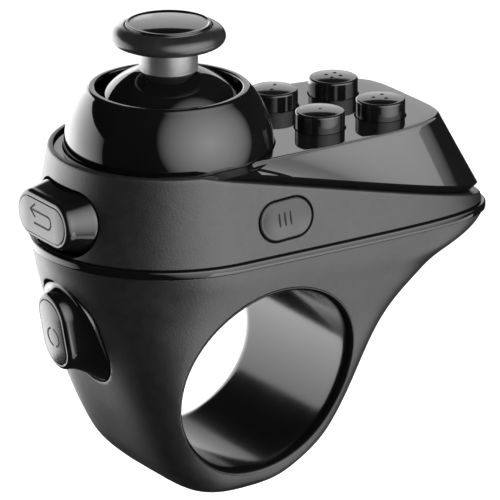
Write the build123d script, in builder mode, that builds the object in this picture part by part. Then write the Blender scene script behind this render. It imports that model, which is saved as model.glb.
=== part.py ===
from build123d import *

# Ring-style finger controller: a two-shell body on a finger ring, a thumbstick on a gimbal,
# four top buttons, a side button, a front button and a hinged trigger.
#
# Millimetres. The origin is the centre of the finger hole. +X points to the tail, +Y runs along the
# finger hole away from the side button, and +Z points up to the thumbstick.

import os
from math import cos, pi, radians, sin, sqrt

os.makedirs("parts", exist_ok=True)

# ---------------------------------------------------------------- driving dimensions
FINGER_R = 11.4              # finger hole
LINER_WALL = 0.7             # gloss sleeve in the finger hole
STICK_X = -5.8               # thumbstick axis
TAIL_X = 31.3                # tail end of the body at its widest level
RIM_Z = 15.3                 # top of the lower shell
STRIP_H = 1.0                # gloss trim strip between the shells
SEAM_Z = RIM_Z + STRIP_H     # bottom of the upper shell
PLATE_Z = 26.5               # top of the button plate
COLLAR_Z = 26.6              # top of the matte collar round the dome
SEAM_R = 15.9                # front radius of the upper shell at the seam
COLLAR_R = 13.87             # front radius of the upper shell at the collar
WALL = 1.5                   # shell wall
FIT = 0.15                   # gap round a moving button

CUT_SLOPE = 0.235            # fall of the gloss cover's lower edge, per mm towards the tail
CUT_Z = 24.3                 # height of that edge at x = 0
BAND_H = 1.05                # height of the gloss band along it
EDGE_DROP = 0.6              # fall of the cover round the dome, from the plate to the collar
SKIRT_FOOT_Z = 16.8
RECESS_Z = 13.9              # floor of the recess in the lower shell's rim
RIM_WALL = 1.4
DOME_SEAT_Z = 24.2           # underside of the dome's flange
FLANGE_T = 1.0
COLLAR_BORE_R = 13.25
SCREW_R = 0.6
SCREW_GRIP = 2.6             # depth of a screw in its post

DOME_R = 12.05               # dome at its base
DOME_RISE = 10.76            # vertical half-axis of the dome's elliptic wall
DOME_BASE_Z = 26.3
DOME_TOP_Z = 33.3
DOME_MOUTH_R = 8.4
DOME_WALL = 1.1

PIVOT_Z = 25.5               # centre of the stick's gimbal
SKIRT_R = 10.4               # round skirt under the thumb cap
SKIRT_WALL = 0.9
STEM_R = 3.36
CAP_Z = 38.3                 # underside of the thumb cap
CAP_R = 6.55

BOARD_Z = 17.6               # underside of the main board
BOARD_T = 0.9
BUTTON_R = 2.9
BUTTON_TOP_Z = PLATE_Z + 1.75
BUTTON_EDGE = 0.3             # chamfer round a key's top
BUTTON_CROWN = 0.25
BUTTON_LIP = 0.7              # flange that keeps a key in
BUTTON_LIP_T = 0.6
BUTTON_X = (11.65, 20.05)
BUTTON_Y = 4.9
BUTTON_NAMES = ("front_near", "front_far", "rear_near", "rear_far")
BUTTON_SPOTS = tuple((x, y) for x in BUTTON_X for y in (-BUTTON_Y, BUTTON_Y))
USB_W, USB_H, USB_Z = 7.6, 2.6, 19.8
LIGHT_SPOT = (7.2, 19.8)
LIGHT_R = 0.7
BATTERY_T = 3.3
KEY_BOARD_Z = 22.2
KEY_BOARD_T = 0.8
KEY_FOOT_Z = PLATE_Z - 1.1 - 0.65
HOUSING_HALF = 6.5
HOUSING_TOP_Z = 23.2
TRUNNION_R = 0.8
SENSOR_T, SENSOR_H, SENSOR_Z = 1.8, 6.2, 19.8
DISC_Z = 22.4
ARCH_R, ARCH_T = 4.2, 1.0
SHAFT_R = 1.5
SHAFT_TOP_Z = 39.6
SLEEVE_Z = PIVOT_Z + sqrt((SKIRT_R - SKIRT_WALL) ** 2 - STEM_R**2)
SKIRT_FOOT = 30.4
CAP_RIM_R, CAP_RIM_Z = 4.85, 40.8     # edge of the thumb disc
CAP_CROWN = 0.25


# ---------------------------------------------------------------- shared shapes
def plan_points(front_x, tail_x, half_width, mid_x=STICK_X, front_power=2.0, tail_power=6.0,
                taper=0.0, count=40):
    """Points round a level outline: one superellipse ahead of mid_x and a squarer one behind it."""
    points = []
    for k in range(count):
        angle = 2 * pi * k / count
        c, s = cos(angle), sin(angle)
        reach, power = (tail_x - mid_x, tail_power) if c > 0 else (mid_x - front_x, front_power)
        x = mid_x + reach * (1 if c > 0 else -1) * abs(c) ** (2 / power)
        y = half_width * (1 if s > 0 else -1) * abs(s) ** (2 / power) * (1 - taper * x)
        points.append((x, y))
    return points


def cut_plane(rise):
    """Plane of the cover's sloping lower edge, raised by rise."""
    return Plane(origin=(0, 0, CUT_Z + rise), x_dir=(1, 0, -CUT_SLOPE), z_dir=(CUT_SLOPE, 0, 1))


# Level sections of the lower shell, from the rim down to the underside of the ring:
# height, front x, tail x, half width, middle x, front power, tail power, taper.
RING_LEVELS = (
    (15.30, -21.90, 31.30, 15.50, -5.8, 2, 6, 0),
    (14.00, -21.60, 30.20, 15.40, -5.7, 2, 6, 0),
    (12.60, -21.25, 27.60, 15.15, -5.5, 2.05, 6.5, 0),
    (11.30, -20.75, 24.70, 14.85, -5.2, 2.15, 7, 0.0005),
    (9.40, -19.90, 21.90, 14.40, -4.6, 2.35, 8, 0.0015),
    (7.00, -18.85, 19.30, 13.85, -3.8, 2.7, 9, 0.003),
    (4.00, -17.60, 17.20, 13.15, -2.8, 3.2, 9, 0.0045),
    (0.00, -16.05, 15.60, 12.35, -2.0, 3.8, 8, 0.006),
    (-4.00, -14.50, 14.20, 11.60, -1.0, 4.2, 7, 0.007),
    (-8.00, -12.70, 12.20, 10.90, 0.0, 4.5, 6, 0.007),
    (-11.00, -10.80, 9.70, 10.20, 0.0, 4.5, 5, 0.006),
    (-12.90, -8.75, 6.60, 9.60, -0.5, 4.5, 4.5, 0.005),
    (-13.80, -6.80, 4.20, 8.90, -1.0, 4.5, 4, 0.004),
    (-14.35, -3.90, 1.20, 7.90, -1.3, 4, 4, 0.004),
)


def ring_hull():
    """Closed outer form of the lower shell and its finger ring."""
    with BuildPart() as hull:
        for height, front, tail, half, mid, front_power, tail_power, taper in RING_LEVELS:
            with BuildSketch(Plane.XY.offset(height)):
                with BuildLine():
                    Spline(*plan_points(front, tail, half, mid, front_power, tail_power, taper),
                           periodic=True)
                make_face()
        loft()
    return hull.part


def upper_hull(inset=0.0, bottom=SEAM_Z, top=COLLAR_Z):
    """Closed outer form of the upper body, drawn in by inset."""
    with BuildPart() as hull:
        for height in (bottom, top):
            rise = (height - SEAM_Z) / (COLLAR_Z - SEAM_Z)
            radius = SEAM_R + (COLLAR_R - SEAM_R) * rise - inset
            half = 15.4 + (COLLAR_R - 15.4) * rise - inset
            tail = TAIL_X - 0.2 - 2.2 * rise - inset
            with BuildSketch(Plane.XY.offset(height)):
                with BuildLine():
                    Spline(*plan_points(STICK_X - radius, tail, half), periodic=True)
                make_face()
        loft()
    return hull.part


def skirt_points(level, plate, band, plate_z):
    """Outline at a level of the straight skirt that falls from the plate's edge through the band."""
    points = []
    for (plate_x, plate_y), (band_x, band_y) in zip(plate, band):
        band_z = min(CUT_Z + BAND_H - CUT_SLOPE * band_x, PLATE_Z - EDGE_DROP)
        reach = (plate_z - level) / (PLATE_Z - band_z)
        points.append((plate_x + (band_x - plate_x) * reach, plate_y + (band_y - plate_y) * reach))
    return points


def skirt_hull(inset=0.0, drop=0.0):
    """Form under the gloss cover's skirt and plate, drawn in by inset and lowered by drop."""
    plate = plan_points(STICK_X - 11.9 + inset, 27.3 - inset, 11.35 - inset, tail_power=5.0)
    band = plan_points(STICK_X - 14.0 + inset, 30.1 - inset, 14.25 - inset)
    with BuildPart() as hull:
        with BuildSketch(Plane.XY.offset(SKIRT_FOOT_Z)):
            with BuildLine():
                Spline(*skirt_points(SKIRT_FOOT_Z, plate, band, PLATE_Z - drop), periodic=True)
            make_face()
        with BuildSketch(Plane.XY.offset(PLATE_Z - drop)):
            with BuildLine():
                Spline(*plate, periodic=True)
            make_face()
        loft(ruled=True)
    return hull.part


def crown_points(radius, rim_z, rise):
    """Three points of a crown's half section: rim, halfway in, and centre of a spherical cap."""
    sphere = (radius**2 + rise**2) / (2 * abs(rise))
    fall = sphere - sqrt(sphere**2 - (radius / 2) ** 2)
    middle_z = rim_z + rise - (fall if rise > 0 else -fall)
    return (radius, rim_z), (radius / 2, middle_z), (0, rim_z + rise)


def save(part, name):
    """Label one finished piece and write it."""
    part.label = name
    export_step(part, f"parts/{name}.step")


# ---------------------------------------------------------------- planes of the tilted parts
SIDE_LEAN = 8.3                                   # lean of the side wall, degrees
SIDE_PLANE = Plane(origin=(0.5, -14.87, 20.3), x_dir=(1, 0, 0),
                   z_dir=(0, -cos(radians(SIDE_LEAN)), sin(radians(SIDE_LEAN))))
TRIGGER_LEAN = 22.0                               # lean of the front wall behind the trigger
TRIGGER_PLANE = Plane(origin=(-18.45, 0, 6.15), x_dir=(0, -1, 0),
                      z_dir=(-cos(radians(TRIGGER_LEAN)), 0, -sin(radians(TRIGGER_LEAN))))
FACE_LEAN = 10.0
FACE_PLANE = Plane(origin=(-21.6, 0, 6.5), x_dir=(0, -1, 0),
                   z_dir=(-cos(radians(FACE_LEAN)), 0, -sin(radians(FACE_LEAN))))
TRIGGER_W, TRIGGER_H = 10.6, 13.6                 # trigger where it leaves the shell
TRIGGER_FACE_W, TRIGGER_FACE_H = 5.2, 8.7
TRIGGER_DEPTH = 1.4                               # its thickness inside the shell
TRIGGER_WELL = 3.6                                # depth of its opening
TRIGGER_PIN = (5.3, -2.2)                         # pin: height on the trigger plane, and depth
TRIGGER_PIN_R = 0.5
TRIGGER_PIN_HALF = 5.2
TRIGGER_SWITCH_H = 1.0                            # height of the switch centre on that plane

RETURN_PLANE = Plane(origin=(0, 0, 20.2), x_dir=(0, -1, 0), z_dir=(-1, 0, 0))
RETURN_W, RETURN_H = 12.8, 7.2
RETURN_FACE_W, RETURN_FACE_H = 10.8, 5.2
RETURN_FACE_X = 22.9                              # distances along -X from the YZ plane
RETURN_BASE_X = 19.4
RETURN_BACK_X = 16.5
RETURN_FACE_RISE = 0.1

MODE_W, MODE_H, MODE_TURN = 7.0, 4.5, 3.0
SCREW_SPOTS = ((-13.0, 8.8), (-13.0, -8.8), (24.0, 9.0), (24.0, -9.0))
BOARD_TOP = BOARD_Z + BOARD_T

TRIGGER_PIN_POINT = TRIGGER_PLANE.from_local_coords((0, *TRIGGER_PIN))
TRIGGER_PIN_SPOT = (TRIGGER_PIN_POINT.X, TRIGGER_PIN_POINT.Z)
FLEX_POINT = TRIGGER_PLANE.from_local_coords((0, TRIGGER_SWITCH_H + 3.55, -TRIGGER_WELL - 1.1))
FLEX_START = (FLEX_POINT.X, FLEX_POINT.Z)

RING_HULL = ring_hull()
UPPER_HULL = upper_hull()
COVER_CORE = skirt_hull(inset=1.2, drop=1.1).intersect(upper_hull(inset=1.3))


# ---------------------------------------------------------------- shells
with BuildPart() as lower_shell:
    add(RING_HULL)
    with BuildSketch(Plane.XZ):
        Circle(FINGER_R + LINER_WALL)
    extrude(amount=20, both=True, mode=Mode.SUBTRACT)
    with BuildSketch(Plane.XY.offset(RECESS_Z)):
        with BuildLine():
            Spline(*plan_points(-21.9 + RIM_WALL, TAIL_X - RIM_WALL, 15.5 - RIM_WALL), periodic=True)
        make_face()
    extrude(amount=RIM_Z - RECESS_Z, mode=Mode.SUBTRACT)
    # well of the trigger, and the pocket of its switch board behind it
    with BuildSketch(TRIGGER_PLANE):
        SlotOverall(TRIGGER_H + 0.5, TRIGGER_W + 0.5, rotation=90)
    extrude(amount=-TRIGGER_WELL, mode=Mode.SUBTRACT)
    with BuildSketch(TRIGGER_PLANE):
        SlotOverall(TRIGGER_H + 0.5, TRIGGER_W + 0.5, rotation=90)
    extrude(amount=4, mode=Mode.SUBTRACT)
    with BuildSketch(TRIGGER_PLANE.offset(-TRIGGER_WELL)):
        with Locations((0, TRIGGER_SWITCH_H)):
            Rectangle(6.8, 7.2)
    extrude(amount=-1.5, mode=Mode.SUBTRACT)
    with BuildSketch(Plane.XY.offset(9.0)):
        with Locations((-15.4, 0)):
            Rectangle(3.6, 5.2)
    extrude(amount=RECESS_Z - 9.0, mode=Mode.SUBTRACT)
    # posts of the main board
    with BuildSketch(Plane.XY.offset(RECESS_Z - 0.5)):
        with Locations(*SCREW_SPOTS):
            Circle(1.8)
    extrude(amount=BOARD_Z - RECESS_Z + 0.5)
    with BuildSketch(Plane.XY.offset(BOARD_Z)):
        with Locations(*SCREW_SPOTS):
            Circle(SCREW_R)
    extrude(amount=-SCREW_GRIP, mode=Mode.SUBTRACT)
    with BuildSketch(Plane.XZ):
        with Locations(TRIGGER_PIN_SPOT):
            Circle(TRIGGER_PIN_R)
    extrude(amount=TRIGGER_PIN_HALF, both=True, mode=Mode.SUBTRACT)
save(lower_shell.part, "lower_shell")

with BuildPart() as ring_liner:
    with BuildSketch(Plane.XZ):
        Circle(FINGER_R + LINER_WALL)
        Circle(FINGER_R, mode=Mode.SUBTRACT)
    extrude(amount=20, both=True)
    add(RING_HULL, mode=Mode.INTERSECT)
save(ring_liner.part, "ring_liner")

with BuildPart() as trim_strip:
    with BuildSketch(Plane.XY.offset(RIM_Z)):
        with BuildLine():
            Spline(*plan_points(-22.1, TAIL_X + 0.2, 15.7), periodic=True)
        make_face()
        with BuildLine():
            Spline(*plan_points(-21.9 + RIM_WALL, TAIL_X - RIM_WALL, 15.5 - RIM_WALL), periodic=True)
        make_face(mode=Mode.SUBTRACT)
    extrude(amount=STRIP_H)
save(trim_strip.part, "trim_strip")

with BuildPart() as upper_shell:
    add(UPPER_HULL)
    split(bisect_by=cut_plane(0), keep=Keep.BOTTOM)
    add(upper_hull(inset=WALL), mode=Mode.SUBTRACT)
    with BuildSketch(Plane.XY.offset(DOME_SEAT_Z)):
        with Locations((STICK_X, 0)):
            Circle(COLLAR_BORE_R)
    extrude(amount=4, mode=Mode.SUBTRACT)
    with BuildSketch(Plane.XY.offset(RECESS_Z + 0.3)):
        with BuildLine():
            Spline(*plan_points(-21.9 + RIM_WALL + 0.1, TAIL_X - RIM_WALL - 0.1, 15.4 - RIM_WALL),
                   periodic=True)
        make_face()
        with BuildLine():
            Spline(*plan_points(-19.4, TAIL_X - 2.5, 13.0), periodic=True)
        make_face(mode=Mode.SUBTRACT)
    extrude(amount=SEAM_Z - RECESS_Z)
    with BuildSketch(RETURN_PLANE.offset(RETURN_BACK_X)):
        SlotOverall(RETURN_W + 0.5, RETURN_H + 0.5)
    extrude(amount=8, mode=Mode.SUBTRACT)
    with BuildSketch(SIDE_PLANE):
        SlotOverall(MODE_W + 2 * FIT, MODE_H + 2 * FIT, rotation=MODE_TURN)
    extrude(amount=3, both=True, mode=Mode.SUBTRACT)
save(upper_shell.part, "upper_shell")

with BuildPart() as top_cover:
    add(UPPER_HULL)
    add(skirt_hull(), mode=Mode.INTERSECT)
    split(bisect_by=cut_plane(0), keep=Keep.TOP)
    add(COVER_CORE, mode=Mode.SUBTRACT)
    with BuildSketch(Plane.XY.offset(DOME_SEAT_Z)):
        with Locations((STICK_X, 0)):
            Circle(COLLAR_BORE_R - 0.05)
    extrude(amount=FLANGE_T + 0.05, mode=Mode.SUBTRACT)
    with BuildSketch(Plane.XY.offset(DOME_SEAT_Z + FLANGE_T + 0.05)):
        with Locations((STICK_X, 0)):
            Circle(COLLAR_BORE_R - 0.05)
    extrude(amount=PLATE_Z - 0.3 - DOME_SEAT_Z - FLANGE_T - 0.05)
    with BuildSketch(Plane.XY.offset(DOME_SEAT_Z)):
        with Locations((STICK_X, 0)):
            Circle(DOME_R + 0.1)
    extrude(amount=4, mode=Mode.SUBTRACT)
    with BuildSketch(Plane.XY.offset(PLATE_Z - 3)):
        with Locations(*BUTTON_SPOTS):
            Circle(BUTTON_R + FIT)
    extrude(amount=4, mode=Mode.SUBTRACT)
    with BuildSketch(Plane.YZ.offset(24)):
        with Locations((0, USB_Z)):
            RectangleRounded(USB_W + 0.4, USB_H + 0.4, 1.0)
    extrude(amount=10, mode=Mode.SUBTRACT)
    with BuildSketch(Plane.YZ.offset(24)):
        with Locations(LIGHT_SPOT):
            Circle(LIGHT_R)
    extrude(amount=10, mode=Mode.SUBTRACT)
save(top_cover.part, "top_cover")

with BuildPart() as stick_dome:
    with BuildSketch(Plane.XZ.move(Location((STICK_X, 0, 0)))) as dome_section:
        with Locations((0, DOME_BASE_Z)):
            Ellipse(DOME_R, DOME_RISE)
            Ellipse(DOME_R - DOME_WALL, DOME_RISE - DOME_WALL, mode=Mode.SUBTRACT)
        with Locations((DOME_R / 2, (DOME_BASE_Z + DOME_TOP_Z) / 2)):
            Rectangle(2 * DOME_R, DOME_TOP_Z - DOME_BASE_Z, mode=Mode.INTERSECT)
        with Locations(((DOME_MOUTH_R - DOME_R) / 2, DOME_TOP_Z)):
            Rectangle(DOME_R + DOME_MOUTH_R, 2 * DOME_R, mode=Mode.SUBTRACT)
        with Locations((DOME_R - DOME_WALL, DOME_SEAT_Z)):
            Rectangle(DOME_WALL, DOME_BASE_Z - DOME_SEAT_Z, align=Align.MIN)
            Rectangle(COLLAR_BORE_R - FIT - DOME_R + DOME_WALL, FLANGE_T, align=Align.MIN)
    revolve(axis=Axis((STICK_X, 0, 0), (0, 0, 1)))
save(stick_dome.part, "stick_dome")


# ---------------------------------------------------------------- boards and power
with BuildPart() as main_board:
    with BuildSketch(Plane.XY.offset(BOARD_Z)):
        with BuildLine():
            Spline(*plan_points(STICK_X - 13.5, TAIL_X - 2.8, 13.0), periodic=True)
        make_face()
        with Locations((5, 0)):
            Rectangle(2 * 20.0, 30, mode=Mode.INTERSECT)
        with Locations(*SCREW_SPOTS):
            Circle(SCREW_R + FIT, mode=Mode.SUBTRACT)
        with Locations((SIDE_PLANE.origin.X, -14.0)):
            Rectangle(MODE_W + 3.0, 4.6, mode=Mode.SUBTRACT)
    extrude(amount=BOARD_T)
save(main_board.part, "main_board")

with BuildPart() as board_screws:
    with Locations(*[(x, y, BOARD_TOP) for x, y in SCREW_SPOTS]):
        Cylinder(1.1, 0.7, align=(Align.CENTER, Align.CENTER, Align.MIN))
    with BuildSketch(Plane.XY.offset(BOARD_TOP)):
        with Locations(*SCREW_SPOTS):
            Circle(SCREW_R)
    extrude(amount=-BOARD_T - SCREW_GRIP)
    with BuildSketch(Plane.XY.offset(BOARD_TOP + 0.7)):
        with Locations(*SCREW_SPOTS):
            Rectangle(1.2, 0.3)
            Rectangle(0.3, 1.2)
    extrude(amount=-0.4, mode=Mode.SUBTRACT)
save(board_screws.part, "board_screws")

with BuildPart() as battery:
    with BuildSketch(Plane.XY.offset(BOARD_TOP)):
        with Locations((15.2, 0)):
            RectangleRounded(14.4, 17.0, 1.2)
    extrude(amount=BATTERY_T)
save(battery.part, "battery")

with BuildPart() as battery_pad:
    with BuildSketch(Plane.XY.offset(BOARD_TOP + BATTERY_T)):
        with Locations((15.2, 0)):
            Rectangle(11, 14)
    extrude(amount=KEY_BOARD_Z - BOARD_TOP - BATTERY_T)
save(battery_pad.part, "battery_pad")

with BuildPart() as button_board:
    with BuildSketch(Plane.XY.offset(KEY_BOARD_Z)):
        with Locations((15.6, 0)):
            RectangleRounded(17.6, 18.0, 1.0)
    extrude(amount=KEY_BOARD_T)
save(button_board.part, "button_board")

with BuildPart() as board_header:
    with BuildSketch(Plane.XY.offset(BOARD_TOP)):
        with Locations((7.4, 0)):
            Rectangle(0.9, 10)
    extrude(amount=KEY_BOARD_Z - BOARD_TOP)
save(board_header.part, "board_header")

with BuildPart() as button_membrane:
    with BuildSketch(Plane.XY.offset(KEY_BOARD_Z + KEY_BOARD_T)):
        with Locations((15.6, 0)):
            RectangleRounded(16.4, 16.8, 1.0)
    extrude(amount=0.3)
    with BuildSketch(Plane.XY.offset(KEY_BOARD_Z + KEY_BOARD_T + 0.3)):
        with Locations(*BUTTON_SPOTS):
            Circle(1.9)
    extrude(amount=0.5, taper=30)
save(button_membrane.part, "button_membrane")

with BuildPart() as controller_chip:
    with Locations((5.0, -6.0, BOARD_TOP)):
        Box(3.2, 4.0, 0.8, align=(Align.CENTER, Align.CENTER, Align.MIN))
save(controller_chip.part, "controller_chip")

with BuildPart() as radio_module:
    with Locations((5.0, 8.5, BOARD_TOP)):
        Box(3.4, 6.0, 1.5, align=(Align.CENTER, Align.CENTER, Align.MIN))
save(radio_module.part, "radio_module")

with BuildPart() as usb_socket:
    with BuildSketch(Plane.YZ.offset(24.2)):
        with Locations((0, USB_Z)):
            RectangleRounded(USB_W, USB_H, 0.6)
    extrude(amount=5.2)
    with BuildSketch(Plane.YZ.offset(25.2)):
        with Locations((0, USB_Z)):
            RectangleRounded(USB_W - 0.6, USB_H - 0.6, 0.4)
    extrude(amount=4.2, mode=Mode.SUBTRACT)
    with BuildSketch(Plane.YZ.offset(25.2)):
        with Locations((0, USB_Z + 0.2)):
            Rectangle(USB_W - 2.4, 0.6)
    extrude(amount=3.4)
save(usb_socket.part, "usb_socket")

with BuildPart() as charge_light:
    with Locations((24.9, LIGHT_SPOT[0], BOARD_TOP)):
        Box(1.2, 1.6, 1.9, align=(Align.CENTER, Align.CENTER, Align.MIN))
save(charge_light.part, "charge_light")

with BuildPart() as light_pipe:
    with BuildSketch(Plane.YZ.offset(25.7)):
        with Locations(LIGHT_SPOT):
            Circle(LIGHT_R)
    extrude(amount=6)
    add(UPPER_HULL, mode=Mode.INTERSECT)
    add(skirt_hull(), mode=Mode.INTERSECT)
save(light_pipe.part, "light_pipe")


# ---------------------------------------------------------------- switches behind the moving buttons
with BuildPart() as mode_switch:
    with Locations((0.5, -10.4, BOARD_TOP)):
        Box(4.0, 2.2, 3.0, align=(Align.CENTER, Align.CENTER, Align.MIN))
    with BuildSketch(Plane.XZ.offset(11.5)):
        with Locations((0.5, 20.1)):
            Circle(0.8)
    extrude(amount=0.5)
save(mode_switch.part, "mode_switch")

with BuildPart() as return_switch:
    with Locations((-13.8, 0, BOARD_TOP)):
        Box(1.6, 4.0, 3.4, align=(Align.CENTER, Align.CENTER, Align.MIN))
    with BuildSketch(RETURN_PLANE.offset(14.6)):
        Circle(0.9)
    extrude(amount=0.45)
save(return_switch.part, "return_switch")

with BuildPart() as trigger_board:
    with BuildSketch(TRIGGER_PLANE.offset(-TRIGGER_WELL - 1.4)):
        with Locations((0, TRIGGER_SWITCH_H)):
            Rectangle(6.4, 6.8)
    extrude(amount=0.6)
save(trigger_board.part, "trigger_board")

with BuildPart() as trigger_switch:
    with BuildSketch(TRIGGER_PLANE.offset(-TRIGGER_WELL - 0.8)):
        with Locations((0, TRIGGER_SWITCH_H)):
            Rectangle(4.5, 4.5)
    extrude(amount=1.7)
    with BuildSketch(TRIGGER_PLANE.offset(-TRIGGER_WELL + 0.9)):
        with Locations((0, TRIGGER_SWITCH_H)):
            Circle(1.1)
    extrude(amount=0.5)
save(trigger_switch.part, "trigger_switch")

with BuildPart() as trigger_flex:
    with BuildSketch(Plane.XZ):
        with BuildLine():
            FilletPolyline(FLEX_START, (-15.1, 13.6), (-15.1, BOARD_Z), radius=0.8)
            offset(amount=0.08, side=Side.BOTH)
        make_face()
    extrude(amount=1.6, both=True)
save(trigger_flex.part, "trigger_flex")

with BuildPart() as trigger_pin:
    with BuildSketch(Plane.XZ):
        with Locations(TRIGGER_PIN_SPOT):
            Circle(TRIGGER_PIN_R)
    extrude(amount=TRIGGER_PIN_HALF, both=True)
save(trigger_pin.part, "trigger_pin")


# ---------------------------------------------------------------- thumbstick module
HUB = Location((STICK_X, 0, PIVOT_Z))
with BuildPart() as stick_housing:
    with BuildSketch(Plane.XY.offset(BOARD_TOP)):
        with Locations((STICK_X, 0)):
            Rectangle(2 * HOUSING_HALF, 2 * HOUSING_HALF)
    extrude(amount=HOUSING_TOP_Z - BOARD_TOP)
    with BuildSketch(Plane.XY.offset(BOARD_TOP + 0.7)):
        with Locations((STICK_X, 0)):
            Rectangle(2 * HOUSING_HALF - 1.6, 2 * HOUSING_HALF - 1.6)
    extrude(amount=HOUSING_TOP_Z - BOARD_TOP, mode=Mode.SUBTRACT)
    # four ears that carry the trunnions
    with BuildSketch(Plane.XY.offset(HOUSING_TOP_Z)):
        with Locations((STICK_X, 0)):
            with PolarLocations(HOUSING_HALF - 0.4, 4):
                Rectangle(0.8, 3.4)
    extrude(amount=PIVOT_Z + 1.7 - HOUSING_TOP_Z)
    with BuildSketch(Plane.YZ):
        with Locations((0, PIVOT_Z)):
            Circle(TRUNNION_R + 0.05)
    extrude(amount=20, both=True, mode=Mode.SUBTRACT)
    with BuildSketch(Plane.XZ):
        with Locations((STICK_X, PIVOT_Z)):
            Circle(TRUNNION_R + 0.05)
    extrude(amount=20, both=True, mode=Mode.SUBTRACT)
save(stick_housing.part, "stick_housing")

with BuildPart() as sensor_x:
    with Locations((STICK_X + HOUSING_HALF, 0, SENSOR_Z)):
        Box(SENSOR_T, 7.0, SENSOR_H, align=(Align.MIN, Align.CENTER, Align.MIN))
save(sensor_x.part, "sensor_x")

with BuildPart() as sensor_y:
    with Locations((STICK_X, HOUSING_HALF, SENSOR_Z)):
        Box(7.0, SENSOR_T, SENSOR_H, align=(Align.CENTER, Align.MIN, Align.MIN))
save(sensor_y.part, "sensor_y")

with BuildPart() as centering_disc:
    with BuildSketch(Plane.XY.offset(DISC_Z)):
        with Locations((STICK_X, 0)):
            Circle(4.6)
            Circle(1.4, mode=Mode.SUBTRACT)
    extrude(amount=0.6)
save(centering_disc.part, "centering_disc")

with BuildPart() as centering_spring:
    with BuildLine(Location((STICK_X, 0, BOARD_TOP + 0.95))):
        Helix(pitch=0.85, height=DISC_Z - BOARD_TOP - 1.2, radius=3.2)
    with BuildSketch(Plane(origin=(STICK_X + 3.2, 0, BOARD_TOP + 0.95), z_dir=(0, 1, 0))):
        Circle(0.22)
    sweep()
save(centering_spring.part, "centering_spring")

with BuildPart() as stick_yoke:
    with Locations(HUB):
        Box(5.8, 6.8, 3.0)
        Box(3.4, 4.8, 4.0, mode=Mode.SUBTRACT)
    with BuildSketch(Plane.XZ.offset(3.4)):
        with Locations((STICK_X, PIVOT_Z)):
            Circle(TRUNNION_R)
    extrude(amount=HOUSING_HALF - 3.4)
    with BuildSketch(Plane.XZ.offset(-3.4)):
        with Locations((STICK_X, PIVOT_Z)):
            Circle(TRUNNION_R)
    extrude(amount=3.4 - HOUSING_HALF)
    with BuildSketch(Plane.YZ):
        with Locations((0, PIVOT_Z)):
            Circle(0.6)
    extrude(amount=20, both=True, mode=Mode.SUBTRACT)
save(stick_yoke.part, "stick_yoke")

with BuildPart() as yoke_pin:
    with Locations(HUB):
        Cylinder(0.6, 5.8, rotation=(0, 90, 0))
save(yoke_pin.part, "yoke_pin")

with BuildPart() as stick_arch:
    with BuildSketch(Plane.XZ):
        with Locations((STICK_X, PIVOT_Z)):
            Circle(ARCH_R + ARCH_T)
            Circle(ARCH_R, mode=Mode.SUBTRACT)
        with Locations((STICK_X, PIVOT_Z - 10)):
            Rectangle(30, 20, mode=Mode.SUBTRACT)
    extrude(amount=2.7, both=True)
    with BuildSketch(Plane.XY.offset(PIVOT_Z + 2.4)):
        with Locations((STICK_X, 0)):
            Rectangle(9.0, 2 * (SHAFT_R + 0.18))
    extrude(amount=10, mode=Mode.SUBTRACT)
    with BuildSketch(Plane.YZ.offset(STICK_X + ARCH_R)):
        with Locations((0, PIVOT_Z)):
            Circle(1.6)
    extrude(amount=ARCH_T)
    with BuildSketch(Plane.YZ.offset(STICK_X - ARCH_R)):
        with Locations((0, PIVOT_Z)):
            Circle(1.6)
    extrude(amount=-ARCH_T)
    with BuildSketch(Plane.YZ.offset(STICK_X + ARCH_R + ARCH_T)):
        with Locations((0, PIVOT_Z)):
            Circle(TRUNNION_R)
    extrude(amount=HOUSING_HALF - ARCH_R - ARCH_T)
    with BuildSketch(Plane.YZ.offset(STICK_X - ARCH_R - ARCH_T)):
        with Locations((0, PIVOT_Z)):
            Circle(TRUNNION_R)
    extrude(amount=ARCH_R + ARCH_T - HOUSING_HALF)
save(stick_arch.part, "stick_arch")

with BuildPart() as stick_shaft:
    with Locations(HUB):
        Cylinder(SHAFT_R, 3.0, rotation=(0, 90, 0))
    with BuildSketch(Plane.XY.offset(PIVOT_Z)):
        with Locations((STICK_X, 0)):
            Circle(SHAFT_R)
    extrude(amount=SHAFT_TOP_Z - PIVOT_Z)
    with BuildSketch(Plane.YZ):
        with Locations((0, PIVOT_Z)):
            Circle(0.65)
    extrude(amount=20, both=True, mode=Mode.SUBTRACT)
save(stick_shaft.part, "stick_shaft")

with BuildPart() as stem_sleeve:
    with BuildSketch(Plane.XY.offset(SLEEVE_Z)):
        with Locations((STICK_X, 0)):
            Circle(STEM_R)
            Circle(SHAFT_R, mode=Mode.SUBTRACT)
    extrude(amount=CAP_Z - SLEEVE_Z)
save(stem_sleeve.part, "stem_sleeve")

with BuildPart() as stick_skirt:
    with Locations(HUB):
        Sphere(SKIRT_R)
        Sphere(SKIRT_R - SKIRT_WALL, mode=Mode.SUBTRACT)
    split(bisect_by=Plane.XY.offset(SKIRT_FOOT), keep=Keep.TOP)
    with BuildSketch(Plane.XY.offset(SKIRT_FOOT)):
        with Locations((STICK_X, 0)):
            Circle(STEM_R)
    extrude(amount=20, mode=Mode.SUBTRACT)
save(stick_skirt.part, "stick_skirt")

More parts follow.
